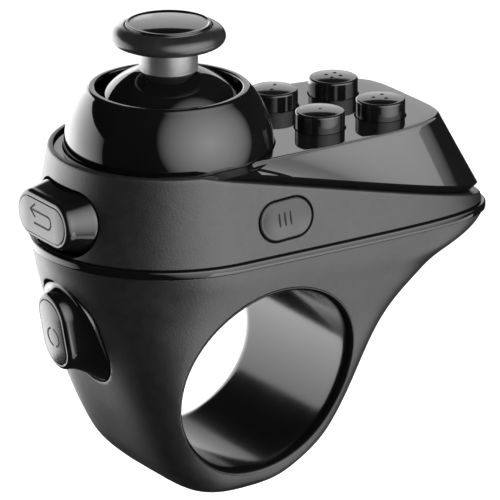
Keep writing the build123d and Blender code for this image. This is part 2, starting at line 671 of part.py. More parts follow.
with BuildPart() as thumb_cap:
    with BuildSketch(Plane.XZ.move(Location((STICK_X, 0, 0)))):
        with BuildLine():
            Polyline((0, CAP_RIM_Z + CAP_CROWN), (0, CAP_Z), (CAP_R - 0.75, CAP_Z))
            ThreePointArc((CAP_R - 0.75, CAP_Z), (CAP_R - 0.15, CAP_Z + 0.35), (CAP_R, CAP_Z + 0.95))
            Spline((CAP_R, CAP_Z + 0.95), (CAP_R - 0.4, CAP_Z + 1.75), (CAP_RIM_R + 0.45, CAP_RIM_Z - 0.4))
            Polyline((CAP_RIM_R + 0.45, CAP_RIM_Z - 0.4), (CAP_RIM_R + 0.2, CAP_RIM_Z), (CAP_RIM_R, CAP_RIM_Z))
            ThreePointArc(*crown_points(CAP_RIM_R, CAP_RIM_Z, CAP_CROWN))
        make_face()
    revolve(axis=Axis((STICK_X, 0, 0), (0, 0, 1)))
    with BuildSketch(Plane.XY.offset(CAP_Z)):
        with Locations((STICK_X, 0)):
            Circle(SHAFT_R)
    extrude(amount=SHAFT_TOP_Z - CAP_Z, mode=Mode.SUBTRACT)
save(thumb_cap.part, "thumb_cap")


# ---------------------------------------------------------------- buttons and trigger
def action_button(x, y):
    """Round key: a tall barrel with a crowned top, and a flange held under the plate."""
    with BuildPart() as key:
        with BuildSketch(Plane.XZ.move(Location((x, 0, 0)))):
            with BuildLine():
                Polyline((0, KEY_FOOT_Z), (BUTTON_R + BUTTON_LIP, KEY_FOOT_Z),
                         (BUTTON_R + BUTTON_LIP, KEY_FOOT_Z + BUTTON_LIP_T),
                         (BUTTON_R, KEY_FOOT_Z + BUTTON_LIP_T), (BUTTON_R, BUTTON_TOP_Z),
                         (BUTTON_R - BUTTON_EDGE, BUTTON_TOP_Z + BUTTON_EDGE))
                ThreePointArc(*crown_points(BUTTON_R - BUTTON_EDGE, BUTTON_TOP_Z + BUTTON_EDGE,
                                            BUTTON_CROWN))
                Line((0, BUTTON_TOP_Z + BUTTON_EDGE + BUTTON_CROWN), (0, KEY_FOOT_Z))
            make_face()
        revolve(axis=Axis((x, 0, 0), (0, 0, 1)))
    return key.part.moved(Location((0, y, 0)))


for button_name, (button_x, button_y) in zip(BUTTON_NAMES, BUTTON_SPOTS):
    save(action_button(button_x, button_y), f"action_button_{button_name}")

with BuildPart() as mode_button:
    with BuildSketch(SIDE_PLANE.offset(-1.9)):
        SlotOverall(MODE_W, MODE_H, rotation=MODE_TURN)
    extrude(amount=4)
    with BuildSketch(SIDE_PLANE.offset(-1.75)):
        SlotOverall(MODE_W + 1.4, MODE_H + 1.4, rotation=MODE_TURN)
    extrude(amount=-0.6)
    add(UPPER_HULL, mode=Mode.INTERSECT)
save(mode_button.part, "mode_button")

with BuildPart() as return_button:
    with BuildSketch(RETURN_PLANE.offset(RETURN_BACK_X)):
        SlotOverall(RETURN_W, RETURN_H)
    extrude(amount=RETURN_BASE_X - RETURN_BACK_X)
    with BuildSketch(RETURN_PLANE.offset(RETURN_BASE_X)):
        SlotOverall(RETURN_W, RETURN_H)
    with BuildSketch(RETURN_PLANE.offset(RETURN_FACE_X)):
        with Locations((0, RETURN_FACE_RISE)):
            SlotOverall(RETURN_FACE_W, RETURN_FACE_H)
    loft()
    with BuildSketch(RETURN_PLANE.offset(RETURN_BACK_X)):
        Rectangle(RETURN_W + 1.2, RETURN_H - 2.0)
    extrude(amount=-0.8)
save(return_button.part, "return_button")

with BuildPart() as trigger:
    with BuildSketch(TRIGGER_PLANE.offset(-TRIGGER_DEPTH)):
        SlotOverall(TRIGGER_H, TRIGGER_W, rotation=90)
    extrude(amount=TRIGGER_DEPTH)
    with BuildSketch(TRIGGER_PLANE):
        SlotOverall(TRIGGER_H, TRIGGER_W, rotation=90)
    with BuildSketch(FACE_PLANE):
        SlotOverall(TRIGGER_FACE_H, TRIGGER_FACE_W, rotation=90)
    loft()
    with BuildSketch(Plane.XZ):
        with Locations(TRIGGER_PIN_SPOT):
            Circle(1.0)
            with Locations((-0.8, -0.2)):
                Rectangle(1.6, 1.6)
    extrude(amount=2.5, both=True)
    with BuildSketch(Plane.XZ):
        with Locations(TRIGGER_PIN_SPOT):
            Circle(TRIGGER_PIN_R + 0.05)
    extrude(amount=20, both=True, mode=Mode.SUBTRACT)
save(trigger.part, "trigger")
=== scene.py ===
"""Looks of a ring-style finger controller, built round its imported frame.

Sizes in the classes are millimetres in the frame's own axes: the origin is the centre of the finger
hole, +X points to the tail, +Y runs along the hole and +Z points up to the thumbstick. Every mesh is
written in metres by make_surface.
"""
import logging
from dataclasses import dataclass
from enum import Enum
from math import cos, pi, radians, sin, tan

import bmesh
import bpy
import numpy as np
from mathutils import Matrix, Vector


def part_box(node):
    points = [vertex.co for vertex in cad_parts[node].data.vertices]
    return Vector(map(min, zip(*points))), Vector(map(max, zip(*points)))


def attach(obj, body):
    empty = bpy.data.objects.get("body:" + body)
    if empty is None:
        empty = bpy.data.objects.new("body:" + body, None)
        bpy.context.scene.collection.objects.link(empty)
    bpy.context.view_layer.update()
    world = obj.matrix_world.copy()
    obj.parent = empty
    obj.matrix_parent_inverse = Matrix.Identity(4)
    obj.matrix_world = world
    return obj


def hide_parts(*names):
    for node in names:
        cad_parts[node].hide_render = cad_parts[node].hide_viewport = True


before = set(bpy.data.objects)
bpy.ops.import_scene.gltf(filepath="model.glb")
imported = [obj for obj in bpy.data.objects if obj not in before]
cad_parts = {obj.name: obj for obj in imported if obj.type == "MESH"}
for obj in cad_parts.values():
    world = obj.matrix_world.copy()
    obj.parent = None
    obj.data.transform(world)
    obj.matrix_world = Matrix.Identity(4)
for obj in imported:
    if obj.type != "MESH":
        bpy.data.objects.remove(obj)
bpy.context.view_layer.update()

LOG = logging.getLogger("finger_controller")
MM = 0.001
Array = np.ndarray


# ---------------------------------------------------------------------------------- surfaces
def spline_through(at: Array, knots: Array, values: Array) -> Array:
    """Natural cubic spline through the knots.

    Each span is the cubic that joins its two values with the second slopes that make neighbouring
    spans agree, found from one linear system.

    Args:
        at: places to evaluate.
        knots: rising knot places.
        values: value at each knot.

    Returns:
        The spline's value at every place.
    """
    at, knots, values = (np.asarray(a, float) for a in (at, knots, values))
    gap = np.diff(knots)
    system = np.eye(len(knots))
    inner = np.arange(1, len(knots) - 1)
    system[inner, inner - 1] = gap[:-1]
    system[inner, inner] = 2 * (gap[:-1] + gap[1:])
    system[inner, inner + 1] = gap[1:]
    right = np.zeros(len(knots))
    right[1:-1] = 6 * np.diff(np.diff(values) / gap)
    bend = np.linalg.solve(system, right)
    span = np.clip(np.searchsorted(knots, at, side="right") - 1, 0, len(gap) - 1)
    h = gap[span]
    a = (knots[span + 1] - at) / h
    b = (at - knots[span]) / h
    flat = a * values[span] + b * values[span + 1]
    return flat + ((a**3 - a) * bend[span] + (b**3 - b) * bend[span + 1]) * h * h / 6


def smooth_step(low: float, high: float, at: Array) -> Array:
    """Rises smoothly from 0 at low to 1 at high: 3t^2 - 2t^3 on the clipped fraction t."""
    t = np.clip((at - low) / (high - low), 0, 1)
    return t * t * (3 - 2 * t)


def make_surface(name: str, points: Array, closed_rows: bool = False,
                 sharp: float = 35.0) -> bpy.types.Object:
    """Mesh object of a grid of points whose columns close on themselves.

    Face (i, j) joins rows i and i + 1 and columns j and j + 1, with the last column joined to the
    first. Rows that shrink to a point are welded, and normals are turned outwards.

    Args:
        name: the object's name.
        points: millimetres, shaped (rows, columns, 3).
        closed_rows: also join the last row to the first, as in a torus; otherwise ends are capped.
        sharp: edges that turn more than this many degrees stay crisp.

    Returns:
        The new object, at the origin, in metres.
    """
    rows, columns = points.shape[:2]
    index = np.arange(rows * columns).reshape(rows, columns)
    below = index if closed_rows else index[:-1]
    above = np.roll(index, -1, axis=0) if closed_rows else index[1:]
    faces = np.stack([below, np.roll(below, -1, 1), np.roll(above, -1, 1), above], -1).reshape(-1, 4)
    polygons = faces.tolist()
    if not closed_rows:
        polygons += [index[0, ::-1].tolist(), index[-1].tolist()]
    mesh = bpy.data.meshes.new(name)
    mesh.from_pydata((points.reshape(-1, 3) * MM).tolist(), [], polygons)
    return dress_mesh(name, mesh, sharp)


def dress_mesh(name: str, mesh: bpy.types.Mesh, sharp: float) -> bpy.types.Object:
    """Weld a raw mesh, turn its faces outwards, shade it smooth and link an object for it."""
    work = bmesh.new()
    work.from_mesh(mesh)
    bmesh.ops.remove_doubles(work, verts=work.verts, dist=2e-6)
    bmesh.ops.dissolve_degenerate(work, edges=work.edges, dist=1e-6)
    bmesh.ops.recalc_face_normals(work, faces=work.faces)
    work.to_mesh(mesh)
    work.free()
    shade(mesh, sharp)
    piece = bpy.data.objects.new(name, mesh)
    bpy.context.scene.collection.objects.link(piece)
    return piece


def shade(mesh: bpy.types.Mesh, sharp: float) -> None:
    """Smooth shading, crisp across edges that turn more than sharp degrees."""
    mesh.polygons.foreach_set("use_smooth", np.ones(len(mesh.polygons), bool))
    mesh.set_sharp_from_angle(angle=radians(sharp))


def apply_modifiers(piece: bpy.types.Object, sharp: float = 35.0) -> None:
    """Replace a piece's mesh by what its modifiers make of it, and drop the modifiers."""
    bpy.context.view_layer.update()
    graph = bpy.context.evaluated_depsgraph_get()
    mesh = bpy.data.meshes.new_from_object(piece.evaluated_get(graph))
    mesh.name = piece.name
    piece.modifiers.clear()
    piece.data = mesh
    shade(mesh, sharp)


def cut(piece: bpy.types.Object, cutters: list[bpy.types.Object], sharp: float = 35.0) -> None:
    """Take the cutters' solids out of a piece, then delete the cutters."""
    for cutter in cutters:
        modifier = piece.modifiers.new("cut", "BOOLEAN")
        modifier.operation = "DIFFERENCE"
        modifier.solver = "EXACT"
        modifier.object = cutter
    apply_modifiers(piece, sharp)
    for cutter in cutters:
        bpy.data.objects.remove(cutter)


def soften(piece: bpy.types.Object, width: float, segments: int = 3, angle: float = 30.0) -> None:
    """Round a piece's crisp edges by width millimetres, for edges that turn more than angle degrees."""
    bevel = piece.modifiers.new("soften", "BEVEL")
    bevel.width = width * MM
    bevel.segments = segments
    bevel.limit_method = "ANGLE"
    bevel.angle_limit = radians(angle)
    bevel.harden_normals = False
    apply_modifiers(piece)


def lathe(name: str, profile: Array, centre: tuple[float, float], columns: int = 160,
          closed: bool = True) -> bpy.types.Object:
    """Turn a profile of (radius, height) points about an upright axis.

    Point (i, j) is at radius r_i and turn angle 2 pi j / columns round the centre.

    Args:
        name: the object's name.
        profile: (radius, height) rows in order along the section.
        centre: x and y of the axis.
        columns: points round a turn.
        closed: the section is a loop, as in a ring; otherwise it starts and ends on the axis.

    Returns:
        The turned piece.
    """
    turn = np.linspace(0, 2 * pi, columns, endpoint=False)
    radius, height = profile[:, :1], profile[:, 1:]
    points = np.stack([centre[0] + radius * np.cos(turn), centre[1] + radius * np.sin(turn),
                       height + 0 * turn], -1)
    return make_surface(name, points, closed_rows=closed, sharp=28.0)


def round_profile(corners: list[tuple[float, float, float]], closed: bool, steps: int = 6) -> Array:
    """A section line through corners, each rounded by its own radius.

    Every corner (a, b, radius) becomes a quadratic curve between the points at that distance along
    its two sides, so it turns smoothly from one side to the next.

    Args:
        corners: section points with their rounding in millimetres.
        closed: the last corner joins the first.
        steps: points per rounded corner.

    Returns:
        Section points, shaped (n, 2).
    """
    data = np.array(corners, float)
    where, size = data[:, :2], data[:, 2]
    before = np.roll(where, 1, 0) - where
    after = np.roll(where, -1, 0) - where
    if not closed:
        size = size.copy()
        size[[0, -1]] = 0.0
    t = np.linspace(0, 1, steps)[None, :, None]
    unit_before = before / np.maximum(np.linalg.norm(before, axis=1, keepdims=True), 1e-9)
    unit_after = after / np.maximum(np.linalg.norm(after, axis=1, keepdims=True), 1e-9)
    start = (where + unit_before * size[:, None])[:, None]
    end = (where + unit_after * size[:, None])[:, None]
    middle = where[:, None]
    curve = (1 - t) ** 2 * start + 2 * t * (1 - t) * middle + t**2 * end
    line = curve.reshape(-1, 2)
    keep = np.ones(len(line), bool)
    keep[1:] = np.linalg.norm(np.diff(line, axis=0), axis=1) > 1e-4
    return line[keep]


def stadium(half_width: Array, half_height: Array, columns: int = 96) -> Array:
    """Slot outlines: two half circles joined by straight sides.

    The first half of the columns goes round the +u end and the second half round the -u end, so
    outlines of different sizes match point for point. The longer half size gives the direction
    of the straight sides.

    Args:
        half_width: half size along u, one per outline.
        half_height: half size along v, one per outline.
        columns: points round the outline.

    Returns:
        Points (u, v), shaped (outlines, columns, 2).
    """
    a = np.atleast_1d(np.asarray(half_width, float))[:, None]
    b = np.atleast_1d(np.asarray(half_height, float))[:, None]
    turn = 2 * pi * (np.arange(columns) + 0.5) / columns
    radius = np.minimum(a, b)
    u = np.maximum(a - b, 0) * np.sign(np.cos(turn)) + radius * np.cos(turn)
    v = np.maximum(b - a, 0) * np.sign(np.sin(turn)) + radius * np.sin(turn)
    return np.stack([u, v], -1)


@dataclass(frozen=True)
class Panel:
    """A tilted flat place with its own u, v and outward w directions."""

    origin: tuple[float, float, float]
    u: tuple[float, float, float]
    w: tuple[float, float, float]

    def place(self, local: Array) -> Array:
        """Points (u, v, w) of the panel in the frame: origin + u U + v V + w W with V = W x U."""
        across, out = np.array(self.u, float), np.array(self.w, float)
        across, out = across / np.linalg.norm(across), out / np.linalg.norm(out)
        up = np.cross(out, across)
        return np.array(self.origin) + local[..., :1] * across + local[..., 1:2] * up + local[..., 2:] * out


def slot_rows(panel: Panel, rows: list[tuple[float, float, float, float, float]]) -> Array:
    """Stacked slot outlines on a panel, one for each (half width, half height, depth, shift, tilt).

    The outline's points lie at height depth + tilt * v, and v is moved by shift, so the last
    outline may lean against the first.
    """
    data = np.array(rows, float)
    outline = stadium(data[:, 0], data[:, 1])
    v = outline[..., 1] + data[:, 3:4]
    depth = data[:, 2:3] + data[:, 4:5] * outline[..., 1]
    return panel.place(np.stack([outline[..., 0], v, depth], -1))


def ribbon(name: str, panel: Panel, path: Array, width: float, height: float) -> bpy.types.Object:
    """A thin raised line with rounded shoulders along a flat path on a panel.

    At each path point the section is a flat-topped bump: the sideways offsets run along the path's
    normal, and the heights go from just under the panel up to height and back.

    Args:
        name: the object's name.
        panel: the face it lies on.
        path: (u, v) points.
        width: width of the line.
        height: how far it stands proud.

    Returns:
        The line's mesh.
    """
    run = np.gradient(path, axis=0)
    normal = np.stack([-run[:, 1], run[:, 0]], -1) / np.linalg.norm(run, axis=1, keepdims=True)
    side = np.array([-0.5, -0.5, -0.35, 0.35, 0.5, 0.5]) * width
    rise = np.array([-0.08, height * 0.5, height, height, height * 0.5, -0.08])
    flat = path[:, None] + normal[:, None] * side[None, :, None]
    local = np.concatenate([flat, np.broadcast_to(rise[None, :, None], (len(path), 6, 1))], -1)
    return make_surface(name, panel.place(local), sharp=60.0)


# ---------------------------------------------------------------------------------- finishes
class Grain(Enum):
    """How a finish's fine relief is drawn."""

    NONE = "none"
    LEATHERY = "leathery"
    ORANGE_PEEL = "orange_peel"
    TURNED = "turned"


@dataclass(frozen=True)
class Finish:
    """One procedural surface finish.

    Colour varies between two tones with a soft cloud pattern, roughness varies with a second one,
    and the relief is a bump drawn from the grain. All patterns read object coordinates in metres.
    """

    name: str
    dark: tuple[float, float, float]
    light: tuple[float, float, float]
    roughness: tuple[float, float]
    metallic: float = 0.0
    ior: float = 1.5
    specular: float = 0.5
    grain: Grain = Grain.NONE
    grain_scale: float = 3000.0
    grain_depth: float = 0.00001
    cloud_scale: float = 400.0
    transmission: float = 0.0

    def build(self) -> bpy.types.Material:
        """Make the material's nodes."""
        material = bpy.data.materials.new(self.name)
        material.use_nodes = True
        tree = material.node_tree
        nodes, links = tree.nodes, tree.links
        shader = nodes["Principled BSDF"]
        place = nodes.new("ShaderNodeTexCoord")
        cloud = nodes.new("ShaderNodeTexNoise")
        cloud.inputs["Scale"].default_value = self.cloud_scale
        cloud.inputs["Detail"].default_value = 4.0
        links.new(place.outputs["Object"], cloud.inputs["Vector"])
        tone = nodes.new("ShaderNodeValToRGB")
        tone.color_ramp.elements[0].position = 0.35
        tone.color_ramp.elements[1].position = 0.65
        tone.color_ramp.elements[0].color = (*self.dark, 1)
        tone.color_ramp.elements[1].color = (*self.light, 1)
        links.new(cloud.outputs["Fac"], tone.inputs["Fac"])
        links.new(tone.outputs["Color"], shader.inputs["Base Color"])
        wear = nodes.new("ShaderNodeTexNoise")
        wear.inputs["Scale"].default_value = self.cloud_scale * 0.35
        wear.inputs["Detail"].default_value = 5.0
        links.new(place.outputs["Object"], wear.inputs["Vector"])
        spread = nodes.new("ShaderNodeMapRange")
        spread.inputs["From Min"].default_value = 0.3
        spread.inputs["From Max"].default_value = 0.7
        spread.inputs["To Min"].default_value = self.roughness[0]
        spread.inputs["To Max"].default_value = self.roughness[1]
        links.new(wear.outputs["Fac"], spread.inputs["Value"])
        links.new(spread.outputs["Result"], shader.inputs["Roughness"])
        shader.inputs["Metallic"].default_value = self.metallic
        shader.inputs["IOR"].default_value = self.ior
        shader.inputs["Specular IOR Level"].default_value = self.specular
        shader.inputs["Transmission Weight"].default_value = self.transmission
        if self.grain is not Grain.NONE:
            self._relief(nodes, links, place, shader)
        return material

    def _relief(self, nodes: bpy.types.Nodes, links: bpy.types.NodeLinks, place: bpy.types.Node,
                shader: bpy.types.Node) -> None:
        """Add the bump of the finish's grain."""
        if self.grain is Grain.TURNED:
            pattern = nodes.new("ShaderNodeTexWave")
            pattern.bands_direction = "Z"
            pattern.inputs["Scale"].default_value = self.grain_scale
            pattern.inputs["Distortion"].default_value = 1.5
            height = pattern.outputs["Fac"]
        elif self.grain is Grain.LEATHERY:
            pattern = nodes.new("ShaderNodeTexVoronoi")
            pattern.feature = "SMOOTH_F1"
            pattern.inputs["Scale"].default_value = self.grain_scale
            height = pattern.outputs["Distance"]
        else:
            pattern = nodes.new("ShaderNodeTexNoise")
            pattern.inputs["Scale"].default_value = self.grain_scale
            pattern.inputs["Detail"].default_value = 3.0
            height = pattern.outputs["Fac"]
        links.new(place.outputs["Object"], pattern.inputs["Vector"])
        bump = nodes.new("ShaderNodeBump")
        bump.inputs["Strength"].default_value = 1.0
        bump.inputs["Distance"].default_value = self.grain_depth
        links.new(height, bump.inputs["Height"])
        links.new(bump.outputs["Normal"], shader.inputs["Normal"])


SOFT_TOUCH = Finish("soft_touch_charcoal", (0.007, 0.007, 0.0073), (0.010, 0.010, 0.0104), (0.35, 0.40),
                    grain=Grain.LEATHERY, grain_scale=4200.0, grain_depth=0.000010, cloud_scale=900.0)
PIANO = Finish("piano_black", (0.0025, 0.0025, 0.0027), (0.0035, 0.0035, 0.0038), (0.035, 0.06),
               grain=Grain.ORANGE_PEEL, grain_scale=260.0, grain_depth=0.0000015, cloud_scale=160.0)
KEY_BLACK = Finish("key_black", (0.003, 0.003, 0.0032), (0.0045, 0.0045, 0.0048), (0.08, 0.12),
                   grain=Grain.ORANGE_PEEL, grain_scale=500.0, grain_depth=0.0000015, cloud_scale=300.0)
# Face plates and pips: satin roughness, with the base colour lifted above the keys' black as a painted
# reflection of the key light on a gloss black face.
FACE_SATIN_PAINTED_REFLECTION = Finish("button_face_satin_painted_reflection", (0.010, 0.010, 0.010), (0.014, 0.014, 0.014), (0.22, 0.27),
                    grain=Grain.ORANGE_PEEL, grain_scale=5200.0, grain_depth=0.000003, cloud_scale=900.0)
INLAY = Finish("icon_inlay", (0.0015, 0.0015, 0.0015), (0.003, 0.003, 0.003), (0.55, 0.65),
               grain=Grain.ORANGE_PEEL, grain_scale=4000.0, grain_depth=0.000004, specular=0.2)
SLEEVE_GLOSS = Finish("sleeve_gloss", (0.002, 0.002, 0.002), (0.003, 0.003, 0.003), (0.14, 0.18),
                      specular=0.36,
                      grain=Grain.ORANGE_PEEL, grain_scale=1200.0, grain_depth=0.000002, cloud_scale=300.0)
CAP_BLACK = Finish("cap_satin_black", (0.012, 0.012, 0.012), (0.018, 0.018, 0.018), (0.20, 0.26),
                   grain=Grain.ORANGE_PEEL, grain_scale=3200.0, grain_depth=0.000004, cloud_scale=500.0)
STEM_GREY = Finish("stem_satin_grey", (0.16, 0.16, 0.162), (0.20, 0.20, 0.202), (0.28, 0.34), metallic=0.6,
                   grain=Grain.TURNED, grain_scale=900.0, grain_depth=0.000003, cloud_scale=500.0)
STEEL = Finish("bright_steel", (0.52, 0.52, 0.54), (0.62, 0.62, 0.63), (0.22, 0.36), metallic=1.0,
               grain=Grain.ORANGE_PEEL, grain_scale=2600.0, grain_depth=0.000004)
BOARD_GREEN = Finish("solder_mask", (0.006, 0.05, 0.022), (0.01, 0.08, 0.03), (0.28, 0.4),
                     grain=Grain.LEATHERY, grain_scale=1800.0, grain_depth=0.00002, cloud_scale=900.0)
POUCH = Finish("foil_pouch", (0.42, 0.43, 0.45), (0.55, 0.56, 0.58), (0.25, 0.4), metallic=0.7,
               grain=Grain.LEATHERY, grain_scale=700.0, grain_depth=0.00003)
FOAM = Finish("closed_cell_foam", (0.03, 0.03, 0.03), (0.06, 0.06, 0.06), (0.8, 0.95),
              grain=Grain.LEATHERY, grain_scale=2500.0, grain_depth=0.00008, specular=0.2)
SILICONE = Finish("silicone", (0.5, 0.5, 0.48), (0.62, 0.62, 0.6), (0.4, 0.5),
                  grain=Grain.ORANGE_PEEL, grain_scale=2500.0, grain_depth=0.00001)
FLEX = Finish("polyimide_film", (0.30, 0.13, 0.02), (0.4, 0.18, 0.03), (0.2, 0.3),
              grain=Grain.ORANGE_PEEL, grain_scale=1500.0, grain_depth=0.000006)
CHIP = Finish("moulded_package", (0.012, 0.012, 0.012), (0.02, 0.02, 0.02), (0.5, 0.6),
              grain=Grain.ORANGE_PEEL, grain_scale=6000.0, grain_depth=0.00001)
LENS = Finish("clear_acrylic", (0.7, 0.72, 0.74), (0.78, 0.8, 0.82), (0.05, 0.1), transmission=0.6,
              grain=Grain.ORANGE_PEEL, grain_scale=900.0, grain_depth=0.000003)
MOULDED = Finish("inner_plastic", (0.02, 0.02, 0.021), (0.03, 0.03, 0.032), (0.4, 0.5),
                 grain=Grain.ORANGE_PEEL, grain_scale=5000.0, grain_depth=0.000012)


class Wardrobe:
    """Builds each finish once and puts it on pieces."""

    def __init__(self) -> None:
        """Start with no materials made."""
        self._made: dict[str, bpy.types.Material] = {}

    def put_on(self, piece: bpy.types.Object, finish: Finish) -> None:
        """Give a piece one finish in its only material slot."""
        if finish.name not in self._made:
            self._made[finish.name] = finish.build()
        if piece.data.materials:
            for k in range(len(piece.data.materials)):
                piece.data.materials[k] = self._made[finish.name]
        else:
            piece.data.materials.append(self._made[finish.name])


@dataclass
class Assembly:
    """A group of pieces that are built and handed to the frame together."""

    wardrobe: Wardrobe

    def hand_over(self, piece: bpy.types.Object, finish: Finish, body: str, slot: str,
                  stands_for: tuple[str, ...] = ()) -> None:
        """Dress a piece, tie it to its body and hide the CAD nodes it stands for."""
        self.wardrobe.put_on(piece, finish)
        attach(piece, body)
        if stands_for:
            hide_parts(*stands_for)
        LOG.info("%s: %d faces on %s", piece.name, len(piece.data.polygons), body)


# ---------------------------------------------------------------------------------- seats of buttons
def tilted(origin: tuple[float, float, float], lean: float) -> Panel:
    """Panel on the front wall that faces -X and leans down by lean degrees."""
    return Panel(origin, (0, -1, 0), (-cos(radians(lean)), 0, -sin(radians(lean))))


KEY_R, KEY_TOP_Z = 2.9, 28.25
KEY_SPOTS = {"front_near": (11.65, -4.9), "front_far": (11.65, 4.9),
             "rear_near": (20.05, -4.9), "rear_far": (20.05, 4.9)}
TRIGGER_W, TRIGGER_H = 10.6, 13.6
TRIGGER_BASE = tilted((-18.45, 0.0, 6.15), 22.0)
TRIGGER_FACE = tilted((-21.6, 0.0, 6.5), 10.0)
RETURN_W, RETURN_H = 12.8, 7.2
RETURN_SEAT = tilted((0.0, 0.0, 20.2), 0.0)
MODE_W, MODE_H = 7.0, 4.5
MODE_LEAN, MODE_TURN = radians(8.3), radians(3.0)
MODE_SEAT = Panel((0.5, -14.87, 20.3),
                  (cos(MODE_TURN), sin(MODE_TURN) * sin(MODE_LEAN), sin(MODE_TURN) * cos(MODE_LEAN)),
                  (0, -cos(MODE_LEAN), sin(MODE_LEAN)))


# ---------------------------------------------------------------------------------- body outline
STICK_X = -5.8
SEAM_Z, COLLAR_Z, PLATE_Z = 16.3, 26.6, 26.5
CUT_SLOPE, CUT_Z = 0.235, 24.3
FINGER_R, LINER_R = 11.4, 12.1
HULL_COLUMNS = 420


def plan(turn: Array, front: Array, tail: Array, half: Array, middle: Array = STICK_X,
         front_power: Array = 2.0, tail_power: Array = 6.0, taper: Array = 0.0) -> tuple[Array, Array]:
    """Level outline of the body: one superellipse ahead of the middle and a squarer one behind it.

    x = middle + reach sign(cos t) |cos t|^(2/p) and y = half sign(sin t) |sin t|^(2/p) (1 - taper x),
    with the tail's reach and power where cos t > 0 and the front's elsewhere.

    Args:
        turn: parameter t.
        front: foremost x.
        tail: rearmost x.
        half: half width.
        middle: x where the two parts join.
        front_power: power p of the front part.
        tail_power: power p of the tail part.
        taper: narrowing per millimetre towards the tail.

    Returns:
        x and y of the outline.
    """
    c, s = np.cos(turn), np.sin(turn)
    reach = np.where(c > 0, tail - middle, middle - front)
    power = np.where(c > 0, tail_power, front_power)
    x = middle + reach * np.sign(c) * np.abs(c) ** (2 / power)
    y = half * np.sign(s) * np.abs(s) ** (2 / power) * (1 - taper * x)
    return x, y


def outline_turns(columns: int = HULL_COLUMNS) -> Array:
    """Parameters whose points are evenly spaced along the seam outline, tail corners included."""
    fine = np.linspace(0, 2 * pi, 40001)
    x, y = plan(fine, STICK_X - 15.9, 31.1, 15.4)
    run = np.concatenate([[0], np.cumsum(np.hypot(np.diff(x), np.diff(y)))])
    return np.interp(np.linspace(0, run[-1], columns, endpoint=False), run, fine)


def hull_point(turn: Array, z: Array, inset: Array = 0.0) -> Array:
    """Point of the upper body's leaning wall at height z, drawn in by inset."""
    rise = (z - SEAM_Z) / (COLLAR_Z - SEAM_Z)
    x, y = plan(turn, STICK_X - (15.9 - 2.03 * rise - inset), 31.1 - 2.2 * rise - inset,
                15.4 - 1.53 * rise - inset)
    return np.stack([x, y, z + 0 * x], -1)


def cut_height(turn: Array, top: float) -> Array:
    """Height at which the wall meets the sloping cut, no higher than top, by repeated substitution."""
    z = np.full_like(turn, 22.0)
    for _ in range(8):
        z = np.minimum(CUT_Z - CUT_SLOPE * hull_point(turn, z)[..., 0], top)
    return z


